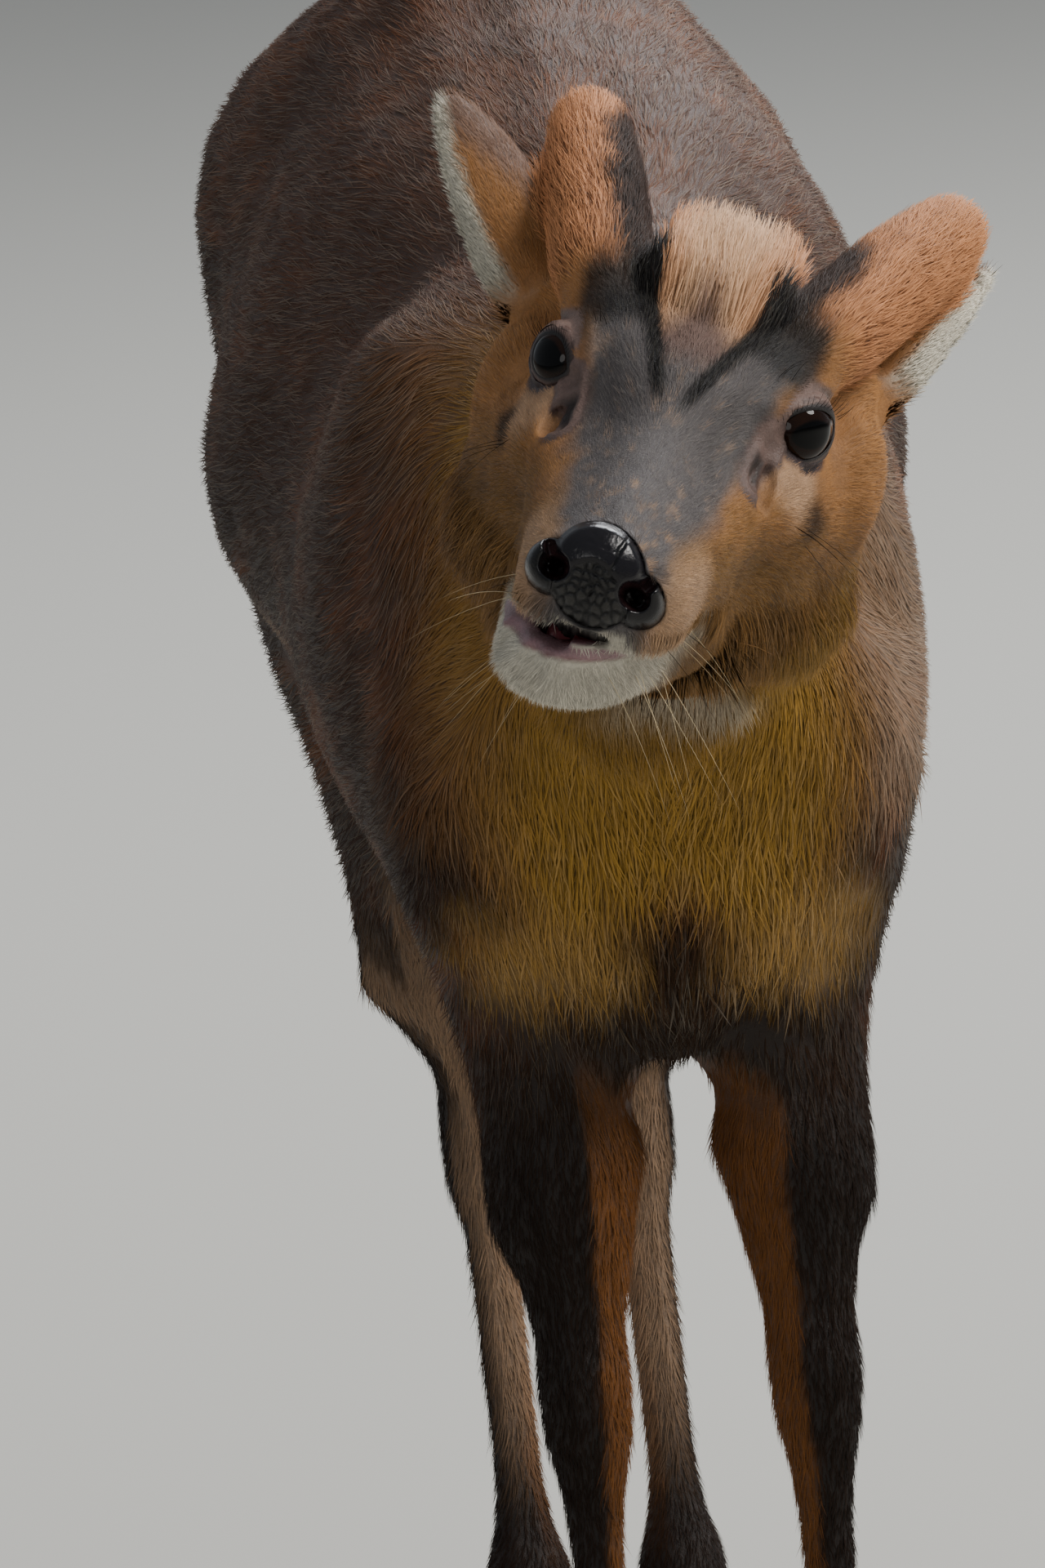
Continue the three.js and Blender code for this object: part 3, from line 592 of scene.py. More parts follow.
def whole_skin():
    """Body, head, pedicles and ears as one closed skin that lies under the coat."""
    skin = skin_mass()
    places = coordinates(skin.data)
    at_head = local(places)
    mouth = smooth(-34, -44, at_head[:, 2]) * smooth(-34, -48, at_head[:, 1])
    fine = np.maximum(smooth(21, 15, eye_distance(at_head)), mouth)
    legs = smooth(LEG_TOP, 240, places[:, 2] / MM)
    head = smooth(95, 50, at_head[:, 1]) * (places[:, 2] > HEAD_ABOVE)
    softness = (1 - 0.74 * legs) * (1 - 0.86 * head) * (1 - 0.9 * fine) * (1 - 0.9 * regions(places)["ear"])
    softness = np.maximum(softness, smooth(1.6, 1.1, around(at_head, THROAT_PLACE, THROAT_RADII)))
    relaxed(skin, SKIN_ROUNDS, np.maximum(softness, 0.05))
    depth = layered(regions(coordinates(skin.data)), DEPTH) * (1 - FOLD_BACK * fine)
    set_coordinates(skin.data, pushed_out(skin.data, -depth))
    at_head = local(coordinates(skin.data))
    roots = [around(at_head, sided(root, s)) for root in (EAR_ROOT, PEDICLE_ROOT) for s in SIDES]
    near = smooth(24, 15, np.min(roots, axis=0)) * smooth(14, 17, eye_distance(at_head))
    relaxed(skin, ROOT_ROUNDS, near)
    fewer(skin)
    places = coordinates(skin.data)
    places = round_eyes(pushed_out(skin.data, folds(local(places), places) + ripples(places)))
    under = smooth(0.0, -2.0, outside_nose(local(places), NOSE_BACK))
    set_coordinates(skin.data, places + direction((0, 1.0, 0)) * under[:, None] * UNDER_NOSE * MM)
    return skin


def fewer(skin):
    """Fewer and larger faces away from the face."""
    count = sum(len(face.vertices) - 2 for face in skin.data.polygons)
    places = coordinates(skin.data)
    front = smooth(14, 2, local(places)[:, 1]) * (places[:, 2] > FACE_ABOVE)
    skin.vertex_groups.new(name="Fewer").add(np.flatnonzero(front < 0.5).tolist(), 1.0, "REPLACE")
    share = SKIN_TRIANGLES / count
    modified(skin, "Fewer", "DECIMATE", ratio=share, vertex_group="Fewer", vertex_group_factor=1.0)
    skin.vertex_groups.clear()


# Markings, with painted sheen and shade among them: one set of colours that the skin and every tuft read

# Back and flanks: the coat's own colours, with painted skylight on the up-facing back and painted shade on
# the flanks.
BACK = paint("#5c4235")
FLANK_AND_SHADE = paint("#301e15")
RUST = paint("#7d4d30")
BELLY = paint("#a88c68")
GOLD = paint("#a07a34")
TAWNY = paint("#8a623a")
# Painted sheen: the pale of the neck's left side, where the key light falls.
NECK_SHEEN_PAINT = paint("#b89a80")
DARK_CHEST = paint("#33210f")
CHEST_TUFT = paint("#b08848")
LEG_OUT = paint("#1f140d")
LEG_IN = paint("#764a24")
LEG_PALE = paint("#a3856a")
GINGER = paint("#cf8e60")
ORANGE = paint("#b98350")
CHEEK = paint("#84602f")
SLATE = paint("#66605f")
BROW_GREY = paint("#7d655c")
CREST_TAN = paint("#deb088")
BLACK = paint("#120e0e")
CREAM = paint("#e9e2cf")
PALE_ORANGE = paint("#d6ae8a")
LID = paint("#352829")
# The pale upper lid: pale skin with a painted highlight on its fold.
UPPER_LID_AND_HIGHLIGHT = paint("#7f6960")
GLAND = paint("#64514a")
LIP = paint("#86676b")
LIP_EDGE = paint("#6d4c40")
MOUTH = paint("#4a161b")
TONGUE = paint("#8c4a50")
CHESTNUT = paint("#96592e")


def nose_map(at_head):
    """Places seen from in front of the nose: how far across from its middle and how far up its face."""
    across = at_head[:, 0] - NOSE_MIDDLE
    height = at_head[:, 1] * math.sin(NOSE_LEAN) + at_head[:, 2] * math.cos(NOSE_LEAN)
    return across, height + NOSE_HEIGHT + NOSE_ROLL * across


def nose_edge(across, up):
    """How far outside the bare nose places lie, in millimetres: a rounded pad with a wing at each side."""
    low = NOSE_LOWER / NOSE_RADIUS
    pad = np.hypot(across, np.where(up > 0, up, up / low)) - NOSE_RADIUS
    wing = np.hypot(np.abs(across) - WING_PLACE[0], up - WING_PLACE[1]) - WING_RADIUS
    return np.minimum(pad, wing)


def outside_nose(at_head, back):
    """How far outside the nose the skin lies, counting what is behind a place or in the mouth as outside."""
    edge = nose_edge(*nose_map(at_head))
    return np.maximum.reduce((edge, at_head[:, 1] - back, MOUTH_ROOF - at_head[:, 2]))


def face_colours(at_head, places, neck):
    """The face's markings, laid over the colours of the neck."""
    x, y, z = at_head.T
    across = np.abs(x)
    folded = np.stack((across, y, z), axis=1)
    blotch = noise(places, 7, 3)
    fleck = noise(places, 2.2, 4)
    nape = smooth(-4, 10, y - 76 - 1.15 * z + 4 * blotch) * smooth(26, 36, across) * smooth(40, 20, y + z)
    under_eye = around(folded, (39, -13, -12))
    cheek_spot = around(folded, (46, -5, -22)) + 1.5 * blotch
    over_eye = around(folded, (31, -8, 14), (1.2, 1, 0.7)) + blotch
    beside_nose = smooth(30, 20, around(folded, (16, -88, -30), (0.8, 1, 0.9)))
    width = np.interp(y, (-100, -84, -45, -20, 0, 10), (13, 16, 21, 26, 30, 30)) + 2.5 * blotch
    top = smooth(width + 5, width - 3, across) * smooth(-40, -20, z - 0.25 * y) * smooth(14, -2, y)
    line = 5 + 0.38 * (y + 30)
    inner = smooth(line + 1, line - 1.5, across) * smooth(58, 50, y) * (z > 0)
    crest = inner * smooth(-12, 4, y + 0.9 * (across - 6) + 3 * blotch)
    edge = np.interp(y, (-36, -20, 0, 12, 30), (1.4, 2.0, 3.0, 4.6, 6))
    along = smooth(-37, -31, y) * smooth(60, 45, y) * (z > -5)
    patch = smooth(line - 1, line + 2, across) * smooth(38, 33, across) * between(-9, 16, y + 3 * blotch, 4)
    return painted(
        neck,
        (ORANGE, smooth(84, 60, y + 6 * blotch)),
        (CHEEK, 0.85 * smooth(-14, -42, z + 9 * blotch + 0.2 * y) * smooth(88, 66, y)),
        (DARK_CHEST, 0.4 * smooth(0.1, 0.8, fleck + blotch) * smooth(-8, -34, z)),
        (neck, 0.85 * nape),
        (PALE_ORANGE, 0.75 * smooth(15, 6, under_eye)),
        (DARK_CHEST, 0.85 * smooth(9, 3, cheek_spot)),
        (CHEEK, 0.6 * smooth(9, 3, over_eye)),
        (PALE_ORANGE, 0.7 * beside_nose * smooth(-16, -30, z)),
        (SLATE, top),
        (TAWNY, 0.45 * top * smooth(0.2, 0.8, fleck) * smooth(-60, -80, y + 8 * blotch)),
        (PALE_ORANGE, 0.35 * top * smooth(0.35, 0.9, fleck)),
        (BROW_GREY, inner * smooth(-26, -14, y)),
        (mixed(CREST_TAN, GINGER, smooth(6, 20, across + 3 * blotch)), crest),
        (BLACK, 0.9 * crest * smooth(42, 48, y + 2 * fleck)),
        (BLACK, along * smooth(edge + 1.2, edge - 0.4, np.abs(across - line))),
        (BLACK, 0.92 * patch * smooth(2, 10, z)),
    )


def mouth_colours(at_head, places, colours):
    """A white upper lip, and a white chin that turns tawny on the side where the mouth is shut."""
    x, y, z = at_head.T
    blotch = noise(places, 6, 5)
    lip_line = -46 + 0.06 * (y + 46)
    upper = smooth(lip_line + 5, lip_line + 1, z + 1.5 * blotch) * smooth(-44, -58, y)
    shut = smooth(19, 9, x + 0.4 * (y + 80) + 2 * blotch)
    chin = smooth(-46, -52, z) * smooth(-34, -48, y + 3 * blotch) * shut
    return mixed(colours, CREAM, np.maximum(0.85 * upper, 0.95 * chin))


def body_colours(places, normals, masks):
    """Grey-brown back, dark flanks, golden throat, dark chest and legs, and a white-backed tail."""
    x, y, z = (places / MM).T
    nx, ny, nz = normals.T
    beside = x - BODY_MIDDLE
    out = np.abs(beside)
    turned_out = nx * np.sign(beside)
    blotch = noise(places, 34, 1)
    mottle = noise(places, 8, 2)
    wide = 8 * blotch
    buttock = smooth(0.5, 0.9, ny) * smooth(42, 26, out) * between(270, 420, z, 25)
    front = smooth(0.1, -0.5, ny + 0.2 * blotch) * smooth(-60, -110, y)
    low = np.interp(out, (0, 30, 60), (318, 300, 330))
    throat = smooth(low - 14, low + 10, z + 6 * blotch) * smooth(-35, -125, y + 12 * blotch + 6 * mottle)
    middles = [sided(CHEST_TUFT_PLACE, s) + (BODY_MIDDLE, 0, 0) for s in SIDES]
    tufts = [around(places / MM, middle, CHEST_TUFT_RADII) for middle in middles]
    patch = around(places / MM, THROAT_PATCH, THROAT_PATCH_RADII)
    leg = masks["leg"]
    inner = leg * smooth(0.1, 0.6, -turned_out + 0.2 * mottle)
    behind = leg * smooth(0, 60, y)
    return painted(
        # dark sides and a lighter top by the way the skin faces: the coat's colours with painted shade and
        # painted skylight
        FLANK_AND_SHADE,
        (BACK, smooth(-0.3, 0.7, nz + 0.15 * blotch)),
        (RUST, 0.6 * smooth(0.0, 0.9, mottle + 0.6 * blotch)),
        (BELLY, smooth(-0.45, -0.85, nz) * smooth(230, 300, z) * (y > -90)),
        (BELLY, 0.8 * buttock),
        (TAWNY, 0.85 * throat * smooth(84, 50, out + wide)),
        # painted sheen on the left side of the neck, where the key light falls
        (NECK_SHEEN_PAINT, 0.55 * throat * smooth(52, 72, beside + wide)),
        (GOLD, front * throat * smooth(66, 34, out + wide)),
        (DARK_CHEST, 0.8 * front * smooth(0, -20, z - low) * smooth(70, 40, out)),
        *((CHEST_TUFT, 0.85 * smooth(46, 18, tuft + 8 * mottle)) for tuft in tufts),
        (CREAM, 0.6 * smooth(1.3, 0.7, patch + 0.3 * mottle)),
        (LEG_OUT, leg * 0.95),
        (LEG_IN, inner * smooth(40, 110, z)),
        (LEG_PALE, 0.75 * behind * smooth(-0.1, -0.6, ny + 0.3 * turned_out) * smooth(60, 120, z)),
        (mixed(CHESTNUT, CREAM, smooth(0.15, -0.25, ny)), masks["tail"]),
    )


def on_ear(at_head, normals, s):
    """How much skin faces the ear's hollow, how far forward it lies on the leaf and how far up."""
    from_root = at_head - sided(EAR_ROOT, s)
    hollow = normals @ direction(sided(EAR_OPENING, s))
    share = from_root @ unit(ear_line(s)) / np.linalg.norm(ear_line(s))
    return hollow, from_root @ ear_forward(s), share


def ear_forward(s):
    """The way from an ear's line to its forward rim."""
    return unit(-s * np.cross(unit(ear_line(s)), sided(EAR_OPENING, s)))


def ear_rim(leaf, forward, share):
    """The forward edge of an ear, a few millimetres wide, which is white and carries a fringe."""
    count = 30
    cells = np.clip((share * count).astype(int), 0, count - 1)
    reach = np.full(count, -99.0)
    np.maximum.at(reach, cells[leaf > 0.5], forward[leaf > 0.5])
    edge = np.interp(share * count, np.arange(count) + 0.5, reach)
    return leaf * smooth(3.8, 2.2, edge - forward)


def pedicle_colours(at_head, fleck, s):
    """A ginger rod with a black stripe on its inner side, which ends lower on the left."""
    root, tip = pedicle_ends(s)
    axis = (tip - root) / np.linalg.norm(tip - root)
    _, share = along_pedicle(at_head, s)
    inward = unit(np.cross(axis, np.cross((-s, -0.25, 0.35), axis)))
    facing = unit(at_head - root - share[:, None] * 1.2 * (tip - root)) @ inward
    fading = smooth(0.3, 0.6, share) if s > 0 else smooth(0.6, 0.95, share)
    stripe = smooth(0.25, 0.6, facing + 0.2 * fleck - 0.9 * fading)
    return painted(GINGER, (RUST, 0.35 * smooth(0, 0.8, fleck)), (BLACK, 0.95 * stripe))


def ear_colours(at_head, normals, fleck, leaf, s):
    """An orange back that greys to its tip, a peach hollow and a white rim."""
    hollow, forward, share = on_ear(at_head, normals, s)
    back = mixed(ORANGE, BROW_GREY, 0.8 * smooth(0.35, 0.75, share - 0.03 * forward + 0.1 * fleck))
    # the left ear's hollow painted paler than the right's: painted light on the side the key light falls on
    inside = mixed(ORANGE, PALE_ORANGE, 0.4 + 0.3 * s)
    return painted(back, (inside, smooth(-0.15, 0.2, hollow)), (CREAM, ear_rim(leaf, forward, share)))


def coat_colours(places, normals, masks):
    """The coat's colour at every place on the skin."""
    at_head = local(places)
    colours = body_colours(places, normals, masks)
    face = face_colours(at_head, places, colours)
    colours = mixed(colours, mouth_colours(at_head, places, face), masks["face"])
    fleck = noise(places, 3, 6)
    for s in SIDES:
        own = np.sign(at_head[:, 0]) == s
        rod, leaf = masks["pedicle"] * own, masks["ear"] * own
        colours = mixed(colours, pedicle_colours(at_head, fleck, s), rod)
        colours = mixed(colours, ear_colours(at_head, normals, fleck, leaf, s), leaf)
    return colours


def mouth_mask(at_head, places):
    """The pink rim of the lower lip and all that lies inside the mouth."""
    x, y, z = at_head.T
    in_jaw = local(places, JAW)
    rim = between(-51.8, -46.8, in_jaw[:, 2], 0.7) * smooth(-42, -48, y) * smooth(13, 8, x)
    hollow = around(at_head, MOUTH_MIDDLE, MOUTH_RADII)
    return np.maximum(rim * smooth(-47.0, -48.0, z), smooth(1.08, 0.98, hollow))


def bare_mask(at_head, places):
    """Where the skin has no coat: lids, glands, under the nose, lips and the mouth's inside."""
    bare = smooth(16.6, 14.6, eye_distance(at_head))
    for s in SIDES:
        near, _ = gland_distance(at_head, s)
        bare = np.maximum(bare, smooth(8.2, 6.2, near + 0.8 * noise(places, 3, 8)))
    bare = np.maximum(bare, smooth(0.5, -0.3, outside_nose(at_head, NOSE_BARE_BACK)))
    return np.maximum(bare, mouth_mask(at_head, places))


def bare_colours(at_head, places):
    """Dark lids, grey-purple glands, a mauve lip and a dark red mouth."""
    # the bare skin above the eyes paler: pale skin with a painted highlight on the upper lids' fold
    purple = smooth(19, 15, eye_distance(at_head)) * (at_head[:, 2] > 4)
    colours = mixed(LID, UPPER_LID_AND_HIGHLIGHT, 0.8 * purple)
    for s in SIDES:
        near, share = gland_distance(at_head, s)
        # the gland's slit painted black: painted shade in its hollow
        pit = 0.9 * smooth(4.6, 2.8, near) * between(0.35, 0.95, share, 0.12)
        colours = painted(colours, (GLAND, smooth(8, 5, near)), (BLACK, pit))
    mouth = mouth_mask(at_head, places)
    hollow = around(at_head, MOUTH_MIDDLE, MOUTH_RADII)
    return painted(
        colours,
        (BLACK, smooth(2, 0, outside_nose(at_head, NOSE_BARE_BACK))),
        (LIP, mouth),
        (LIP_EDGE, 0.7 * mouth * smooth(-50.2, -52, local(places, JAW)[:, 2])),
        (MOUTH, mouth * smooth(1.05, 0.85, hollow)),
    )


# The lie of the coat


def lie_of(places, normals, masks):
    """Which way the coat lies, along the skin."""
    at_head = local(places)
    x, _, z = at_head.T
    rear = smooth(0.35, 0.8, normals[:, 1]) * (places[:, 1] > 0)
    chest = smooth(-0.2, -0.7, normals[:, 1]) * (places[:, 1] < 0)
    outward = np.sign(x)[:, None] * direction((1.0, 0, 0))
    upward = mixed(direction((0, 1.0, 0.1)), direction((0, 0.75, -0.66)), smooth(-10, -60, z))
    face = upward + 0.35 * smooth(4, 30, np.abs(x))[:, None] * outward
    flow = painted(
        np.array((0, 1.0, -0.22)),
        ((0, 0.35, -1), rear),
        ((0, 0.1, -1), chest),
        ((0, 0.75, -0.6), masks["neck"] * (1 - chest)),
        (DOWN, np.maximum(masks["leg"], masks["tail"])),
        (face, masks["face"]),
        (direction((0, 0.6, 0.8)), masks["crest"] * 0.8),
    )
    for s in SIDES:
        own = np.sign(x) == s
        root, tip = pedicle_ends(s)
        base, line = sided(EAR_ROOT, s), ear_line(s)
        _, share = along_line(at_head, base, EAR_TIPS[s])
        spread = unit(line) + 0.03 * (at_head - base - share[:, None] * line)
        flow = mixed(flow, direction(tip - root), masks["pedicle"] * own)
        flow = mixed(flow, direction(spread), masks["ear"] * own)
    flow -= normals * np.sum(flow * normals, axis=1, keepdims=True)
    return unit(flow)


# Tufts, locks and bristles

# Shapes of a tuft: how far along each ring stands, how wide it is, and its share of the rise

SHORT = ((0.0, 1.0, 0.0),)
BENT = ((0.0, 1.0, 0.0), (0.5, 0.9, 0.8))
PATCH = 0.003
SUNK = 0.3
BELLIED = 0.3
SCATTER_TURN = 0.16
SWEEP_TURN = 0.25
SWEEP_MM = 9
# Tuft roots are darker than the tips, more so on the face: the hair's darker base and painted shade deep in
# the coat.
ROOT_PAINTED_SHADE = 0.82
FACE_ROOTS_PAINTED_DARKER = 0.22
GRIZZLED = 0.4
TICKED = 0.35


def scattered(mesh, density, chance):
    """Places spread over a mesh, so many to the square centimetre at each of its triangles."""
    mesh.calc_loop_triangles()
    corners = np.empty(len(mesh.loop_triangles) * 3, np.int32)
    mesh.loop_triangles.foreach_get("vertices", corners)
    corners = corners.reshape(-1, 3)
    a, b, c = coordinates(mesh)[corners.T]
    area = np.linalg.norm(np.cross(b - a, c - a), axis=1) / 2 * 1e4
    total = np.cumsum(area * density[corners].mean(axis=1))
    count = int(total[-1])
    picks = np.searchsorted(total, (np.arange(count) + chance.random(count)) / count * total[-1])
    picks = corners[np.minimum(picks, len(corners) - 1)]
    shares = np.sqrt(chance.random(count)), chance.random(count)
    weights = np.stack((1 - shares[0], shares[0] * (1 - shares[1]), shares[0] * shares[1]), axis=1)
    return picks, weights


def carried(values, picks, weights):
    """Values of the vertices at scattered places."""
    if values.ndim > 1:
        weights = weights[:, :, None]
    return np.sum(values[picks] * weights, axis=1)


def triangle_mesh(name, points, faces):
    """Many copies of one small closed shape as one mesh, with the vertex of each of its corners."""
    count, size = points.shape[:2]
    corners = (np.array(faces)[None] + np.arange(count)[:, None, None] * size).reshape(-1)
    mesh = bpy.data.meshes.new(name)
    mesh.vertices.add(count * size)
    mesh.vertices.foreach_set("co", points.astype(np.float32).ravel())
    mesh.loops.add(len(corners))
    mesh.loops.foreach_set("vertex_index", corners.astype(np.int32))
    mesh.polygons.add(len(corners) // 3)
    mesh.polygons.foreach_set("loop_start", np.arange(0, len(corners), 3, dtype=np.int32))
    mesh.update(calc_edges=True)
    return mesh, corners


def spike_faces(steps):
    """The triangles of a closed spike of three sides, by the numbers of its rings' points and its tip."""
    faces = [(0, 2, 1)]
    for low in range(0, 3 * (steps - 1), 3):
        high = low + 3
        for a, b in ((0, 2), (2, 1), (1, 0)):
            faces += [(low + a, high + a, high + b), (low + a, high + b, low + b)]
    last, tip = 3 * (steps - 1), 3 * steps
    return [*faces, (last, tip, last + 2), (last + 2, tip, last + 1), (last + 1, tip, last)]


def tuft_mesh(name, roots, normals, lies, sizes, shades, patches, rings, soft):
    """Tapered tufts as one mesh: each a closed spike of three sides through its rings to a point.

    sizes holds length, width and rise in metres; each ring says how far along it stands, how wide it is
    and what share of the rise it has reached. shades holds the colours at the root and at the tip. Soft
    tufts are shaded mostly as the skin under them is.
    """
    length, width, rise = (column[:, None] for column in sizes)
    across = np.cross(lies, normals)
    rows = []
    for along, wide, high in rings:
        middle = roots + lies * length * along + normals * (rise * high)
        side = across * width * wide / 2
        rows += [middle + side, middle - side, middle + normals * width * wide * BELLIED]
    rows.append(roots + lies * length + normals * rise)
    mesh, corners = triangle_mesh(name, np.stack(rows, axis=1), spike_faces(len(rings)))
    if soft:
        leans = [*((across, -across, 0 * across) * len(rings)), 0 * across]
        shading = unit(np.stack([normals + lean for lean in leans], axis=1))
        mesh.shade_smooth()
        mesh.normals_split_custom_set_from_vertices(shading.reshape(-1, 3))
    stations = np.repeat([ring[0] for ring in rings], 3).tolist() + [1.0]
    root_shade, tip_shade = shades
    shade = root_shade[:, None, :] + (tip_shade - root_shade)[:, None, :] * np.array(stations)[None, :, None]
    give_colour(mesh, shade.reshape(-1, 3))
    spread = [(x, y + 1.6 * ring[0]) for ring in rings for x, y in ((-1, -1), (1, -1), (0, -0.6))]
    flat = patches[:, None, :] + np.array([*spread, (0, 1)]) * PATCH / 2
    give_patches(mesh, flat.reshape(-1, 2)[corners])
    return mesh


def turned_about(vectors, axes, angles):
    """Vectors turned about axes that stand square to them."""
    return vectors * np.cos(angles)[:, None] + np.cross(axes, vectors) * np.sin(angles)[:, None]


def unwrapped(places, centre, axis):
    """The skin opened out: the way round an axis and the way along it, each from 0 to 1."""
    axis = np.array(axis, float)
    first = unit(np.cross(axis, (0.31, 0.2, 0.93)))
    second = np.cross(axis, first)
    offset = places - np.array(centre)
    way_round = np.arctan2(offset @ second, offset @ first) / (2 * np.pi) + 0.5
    along = offset @ axis
    along = (along - along.min()) / max(np.ptp(along), 1e-9)
    return np.stack((way_round, along), axis=1) * (1 - 2 * PATCH) + PATCH


class Coat:
    """The skin's shape, colours and lie, and the tufts that are set on it."""

    def __init__(self, skin):
        self.mesh = skin.data
        self.places = coordinates(self.mesh)
        self.normals = unit(normals_of(self.mesh))
        self.at_head = local(self.places)
        self.masks = regions(self.places)
        self.rest = (1 - self.masks["ear"]) * (1 - self.masks["pedicle"])
        self.inside = self.places[:, 0] > BODY_MIDDLE * MM
        self.colours = coat_colours(self.places, self.normals, self.masks)
        self.bare = bare_mask(self.at_head, self.places)
        self.lies = lie_of(self.places, self.normals, self.masks)
        self.grizzle = (1 - self.masks["leg"]) * (1 - self.masks["pedicle"]) * (1 - 0.6 * self.masks["neck"])
        self.ticked = self.masks["face"] * (1 - self.masks["crest"]) * smooth(10, -20, self.at_head[:, 2])
        measures = [layered(self.masks, column) for column in (LENGTH, WIDTH, DENSITY, RISE)]
        self.length, self.width, self.density, self.rise = measures

    def cover(
        self, name, where, core, seed, rings=SHORT, longer=1.0, rise=1.0, denser=1.0, aim=None, soft=True
    ):
        """One coat piece: tufts where a mask picks, lying with the coat or by an aim in the head's frame.

        core is the place and the axis that the piece is unwrapped about.
        """
        chance = np.random.default_rng(seed)
        wanted = where * self.density * denser * (1 - smooth(0.25, 0.6, self.bare))
        picks, weights = scattered(self.mesh, wanted, chance)
        roots, normals, lies, colours, length, width, stand = (
            carried(field, picks, weights)
            for field in (
                self.places, self.normals, self.lies, self.colours, self.length, self.width, self.rise
            )
        )
        count = len(roots)
        if aim is not None:
            lies = np.tile(direction(aim), (count, 1))
        normals = unit(normals)
        lies = unit(lies - normals * np.sum(lies * normals, axis=1, keepdims=True))
        swept = SWEEP_TURN * noise(roots, SWEEP_MM, seed)
        lies = turned_about(lies, normals, chance.normal(0, SCATTER_TURN, count) + swept)
        length = length * longer * chance.uniform(0.75, 1.2, count) * MM
        width = width * chance.uniform(0.7, 1.25, count) * MM
        rise = (rise * stand * chance.uniform(0.55, 1.15, count) + SUNK) * MM
        near = self.masks["face"][picks[:, 0]]
        # darker roots: the hair's darker base with painted shade deep in the coat
        dark = ROOT_PAINTED_SHADE - FACE_ROOTS_PAINTED_DARKER * near
        light = 1 + (0.1 + 0.16 * near) * chance.uniform(-1, 1, count)
        light *= 1 - 0.55 * self.ticked[picks[:, 0]] * (chance.random(count) < TICKED)
        grizzle = self.grizzle[picks[:, 0]] * (chance.random(count) < GRIZZLED)
        tips = mixed(colours, mixed(colours, CREAM, 0.16), grizzle) * light[:, None]
        sizes, shades = (length, width, rise), (colours * dark[:, None], tips)
        sunk = roots - normals * SUNK * MM
        mesh = tuft_mesh(name, sunk, normals, lies, sizes, shades, unwrapped(roots, *core), rings, soft)
        finished(new_object(name, mesh), HAIR, "coat")


def bristles(name, roots, aims, droops, lengths, width, colours):
    """Long thin hairs, each a tapered rod of three sides along a bent line."""
    stations = np.linspace(0, 1, 7)[:-1]
    lengths = np.asarray(lengths)[:, None]
    across = unit(np.cross(aims, droops))
    third = unit(np.cross(across, aims))
    rows = []
    for share in stations:
        middle = roots + aims * lengths * share + droops * lengths * share * share
        for angle in (0, 2.09, 4.19):
            out = across * math.cos(angle) + third * math.sin(angle)
            rows.append(middle + out * width / 2 * (1 - 0.8 * share))
    rows.append(roots + (aims + droops) * lengths)
    points = np.stack(rows, axis=1)
    bm = bmesh.new()
    edges = ((0, 1), (1, 2), (2, 0))
    for row in points:
        verts = [bm.verts.new(point) for point in row]
        for low in range(0, 3 * len(stations) - 3, 3):
            for a, b in edges:
                bm.faces.new((verts[low + a], verts[low + b], verts[low + 3 + b], verts[low + 3 + a]))
        for a, b in edges:
            bm.faces.new((verts[-4 + a], verts[-4 + b], verts[-1]))
        bm.faces.new((verts[2], verts[1], verts[0]))
    thing = object_from(name, bm)
    give_colour(thing.data, np.repeat(colours, points.shape[1], axis=0))
    corners = np.empty(len(thing.data.loops), np.int32)
    thing.data.loops.foreach_get("vertex_index", corners)
    hair, place = np.divmod(corners, points.shape[1])
    spread = np.stack((place % 3 - 1, 2 * place / points.shape[1] - 1), axis=1) * PATCH / 2
    patches = unwrapped(roots, world(HEAD_CORE), direction((0, 1.0, 0)))
    give_patches(thing.data, patches[hair] + spread)
    finished(thing, HAIR, "coat")


# Materials


def add(tree, kind, *feeds, **settings):
    """A node with its settings; its sockets, by order or by name, take a value or another node's output."""
    node = tree.nodes.new(kind)
    for name, value in [*enumerate(feeds), *settings.items()]:
        if isinstance(name, str) and name not in node.inputs:
            setattr(node, name, value)
        elif isinstance(value, bpy.types.NodeSocket):
            tree.links.new(value, node.inputs[name])
        else:
            node.inputs[name].default_value = value
    return node


def uneven_group():
    """A group that gives a colour slight unevenness, and the height of fine pores or strands."""
    group = bpy.data.node_groups.new("Uneven", "ShaderNodeTree")
    group.interface.new_socket("Color", in_out="INPUT", socket_type="NodeSocketColor")
    for name in ("Scale", "Contrast", "Stretch"):
        group.interface.new_socket(name, in_out="INPUT", socket_type="NodeSocketFloat")
    group.interface.new_socket("Color", in_out="OUTPUT", socket_type="NodeSocketColor")
    group.interface.new_socket("Height", in_out="OUTPUT", socket_type="NodeSocketFloat")
    given = group.nodes.new("NodeGroupInput").outputs
    place = add(group, "ShaderNodeTexCoord").outputs["Object"]
    stretch = add(group, "ShaderNodeCombineXYZ", X=1.0, Y=given["Stretch"], Z=1.0).outputs[0]
    spot = add(group, "ShaderNodeVectorMath", place, stretch, operation="MULTIPLY").outputs[0]
    fine = add(group, "ShaderNodeTexNoise", Vector=spot, Scale=given["Scale"], Detail=5.0, Roughness=0.62)
    slower = add(group, "ShaderNodeMath", given["Scale"], 0.12, operation="MULTIPLY").outputs[0]
    broad = add(group, "ShaderNodeTexNoise", Vector=place, Scale=slower, Detail=3.0)
    both = add(group, "ShaderNodeMath", fine.outputs["Fac"], broad.outputs["Fac"], operation="ADD").outputs[0]
    level = add(group, "ShaderNodeMath", both, 1.0, operation="SUBTRACT").outputs[0]
    gain = add(group, "ShaderNodeMath", level, given["Contrast"], 1.0, operation="MULTIPLY_ADD").outputs[0]
    scaled = add(group, "ShaderNodeVectorMath", given["Color"], operation="SCALE", Scale=gain).outputs[0]
    add(group, "NodeGroupOutput", scaled, fine.outputs["Fac"])
    return group


UNEVEN = uneven_group()


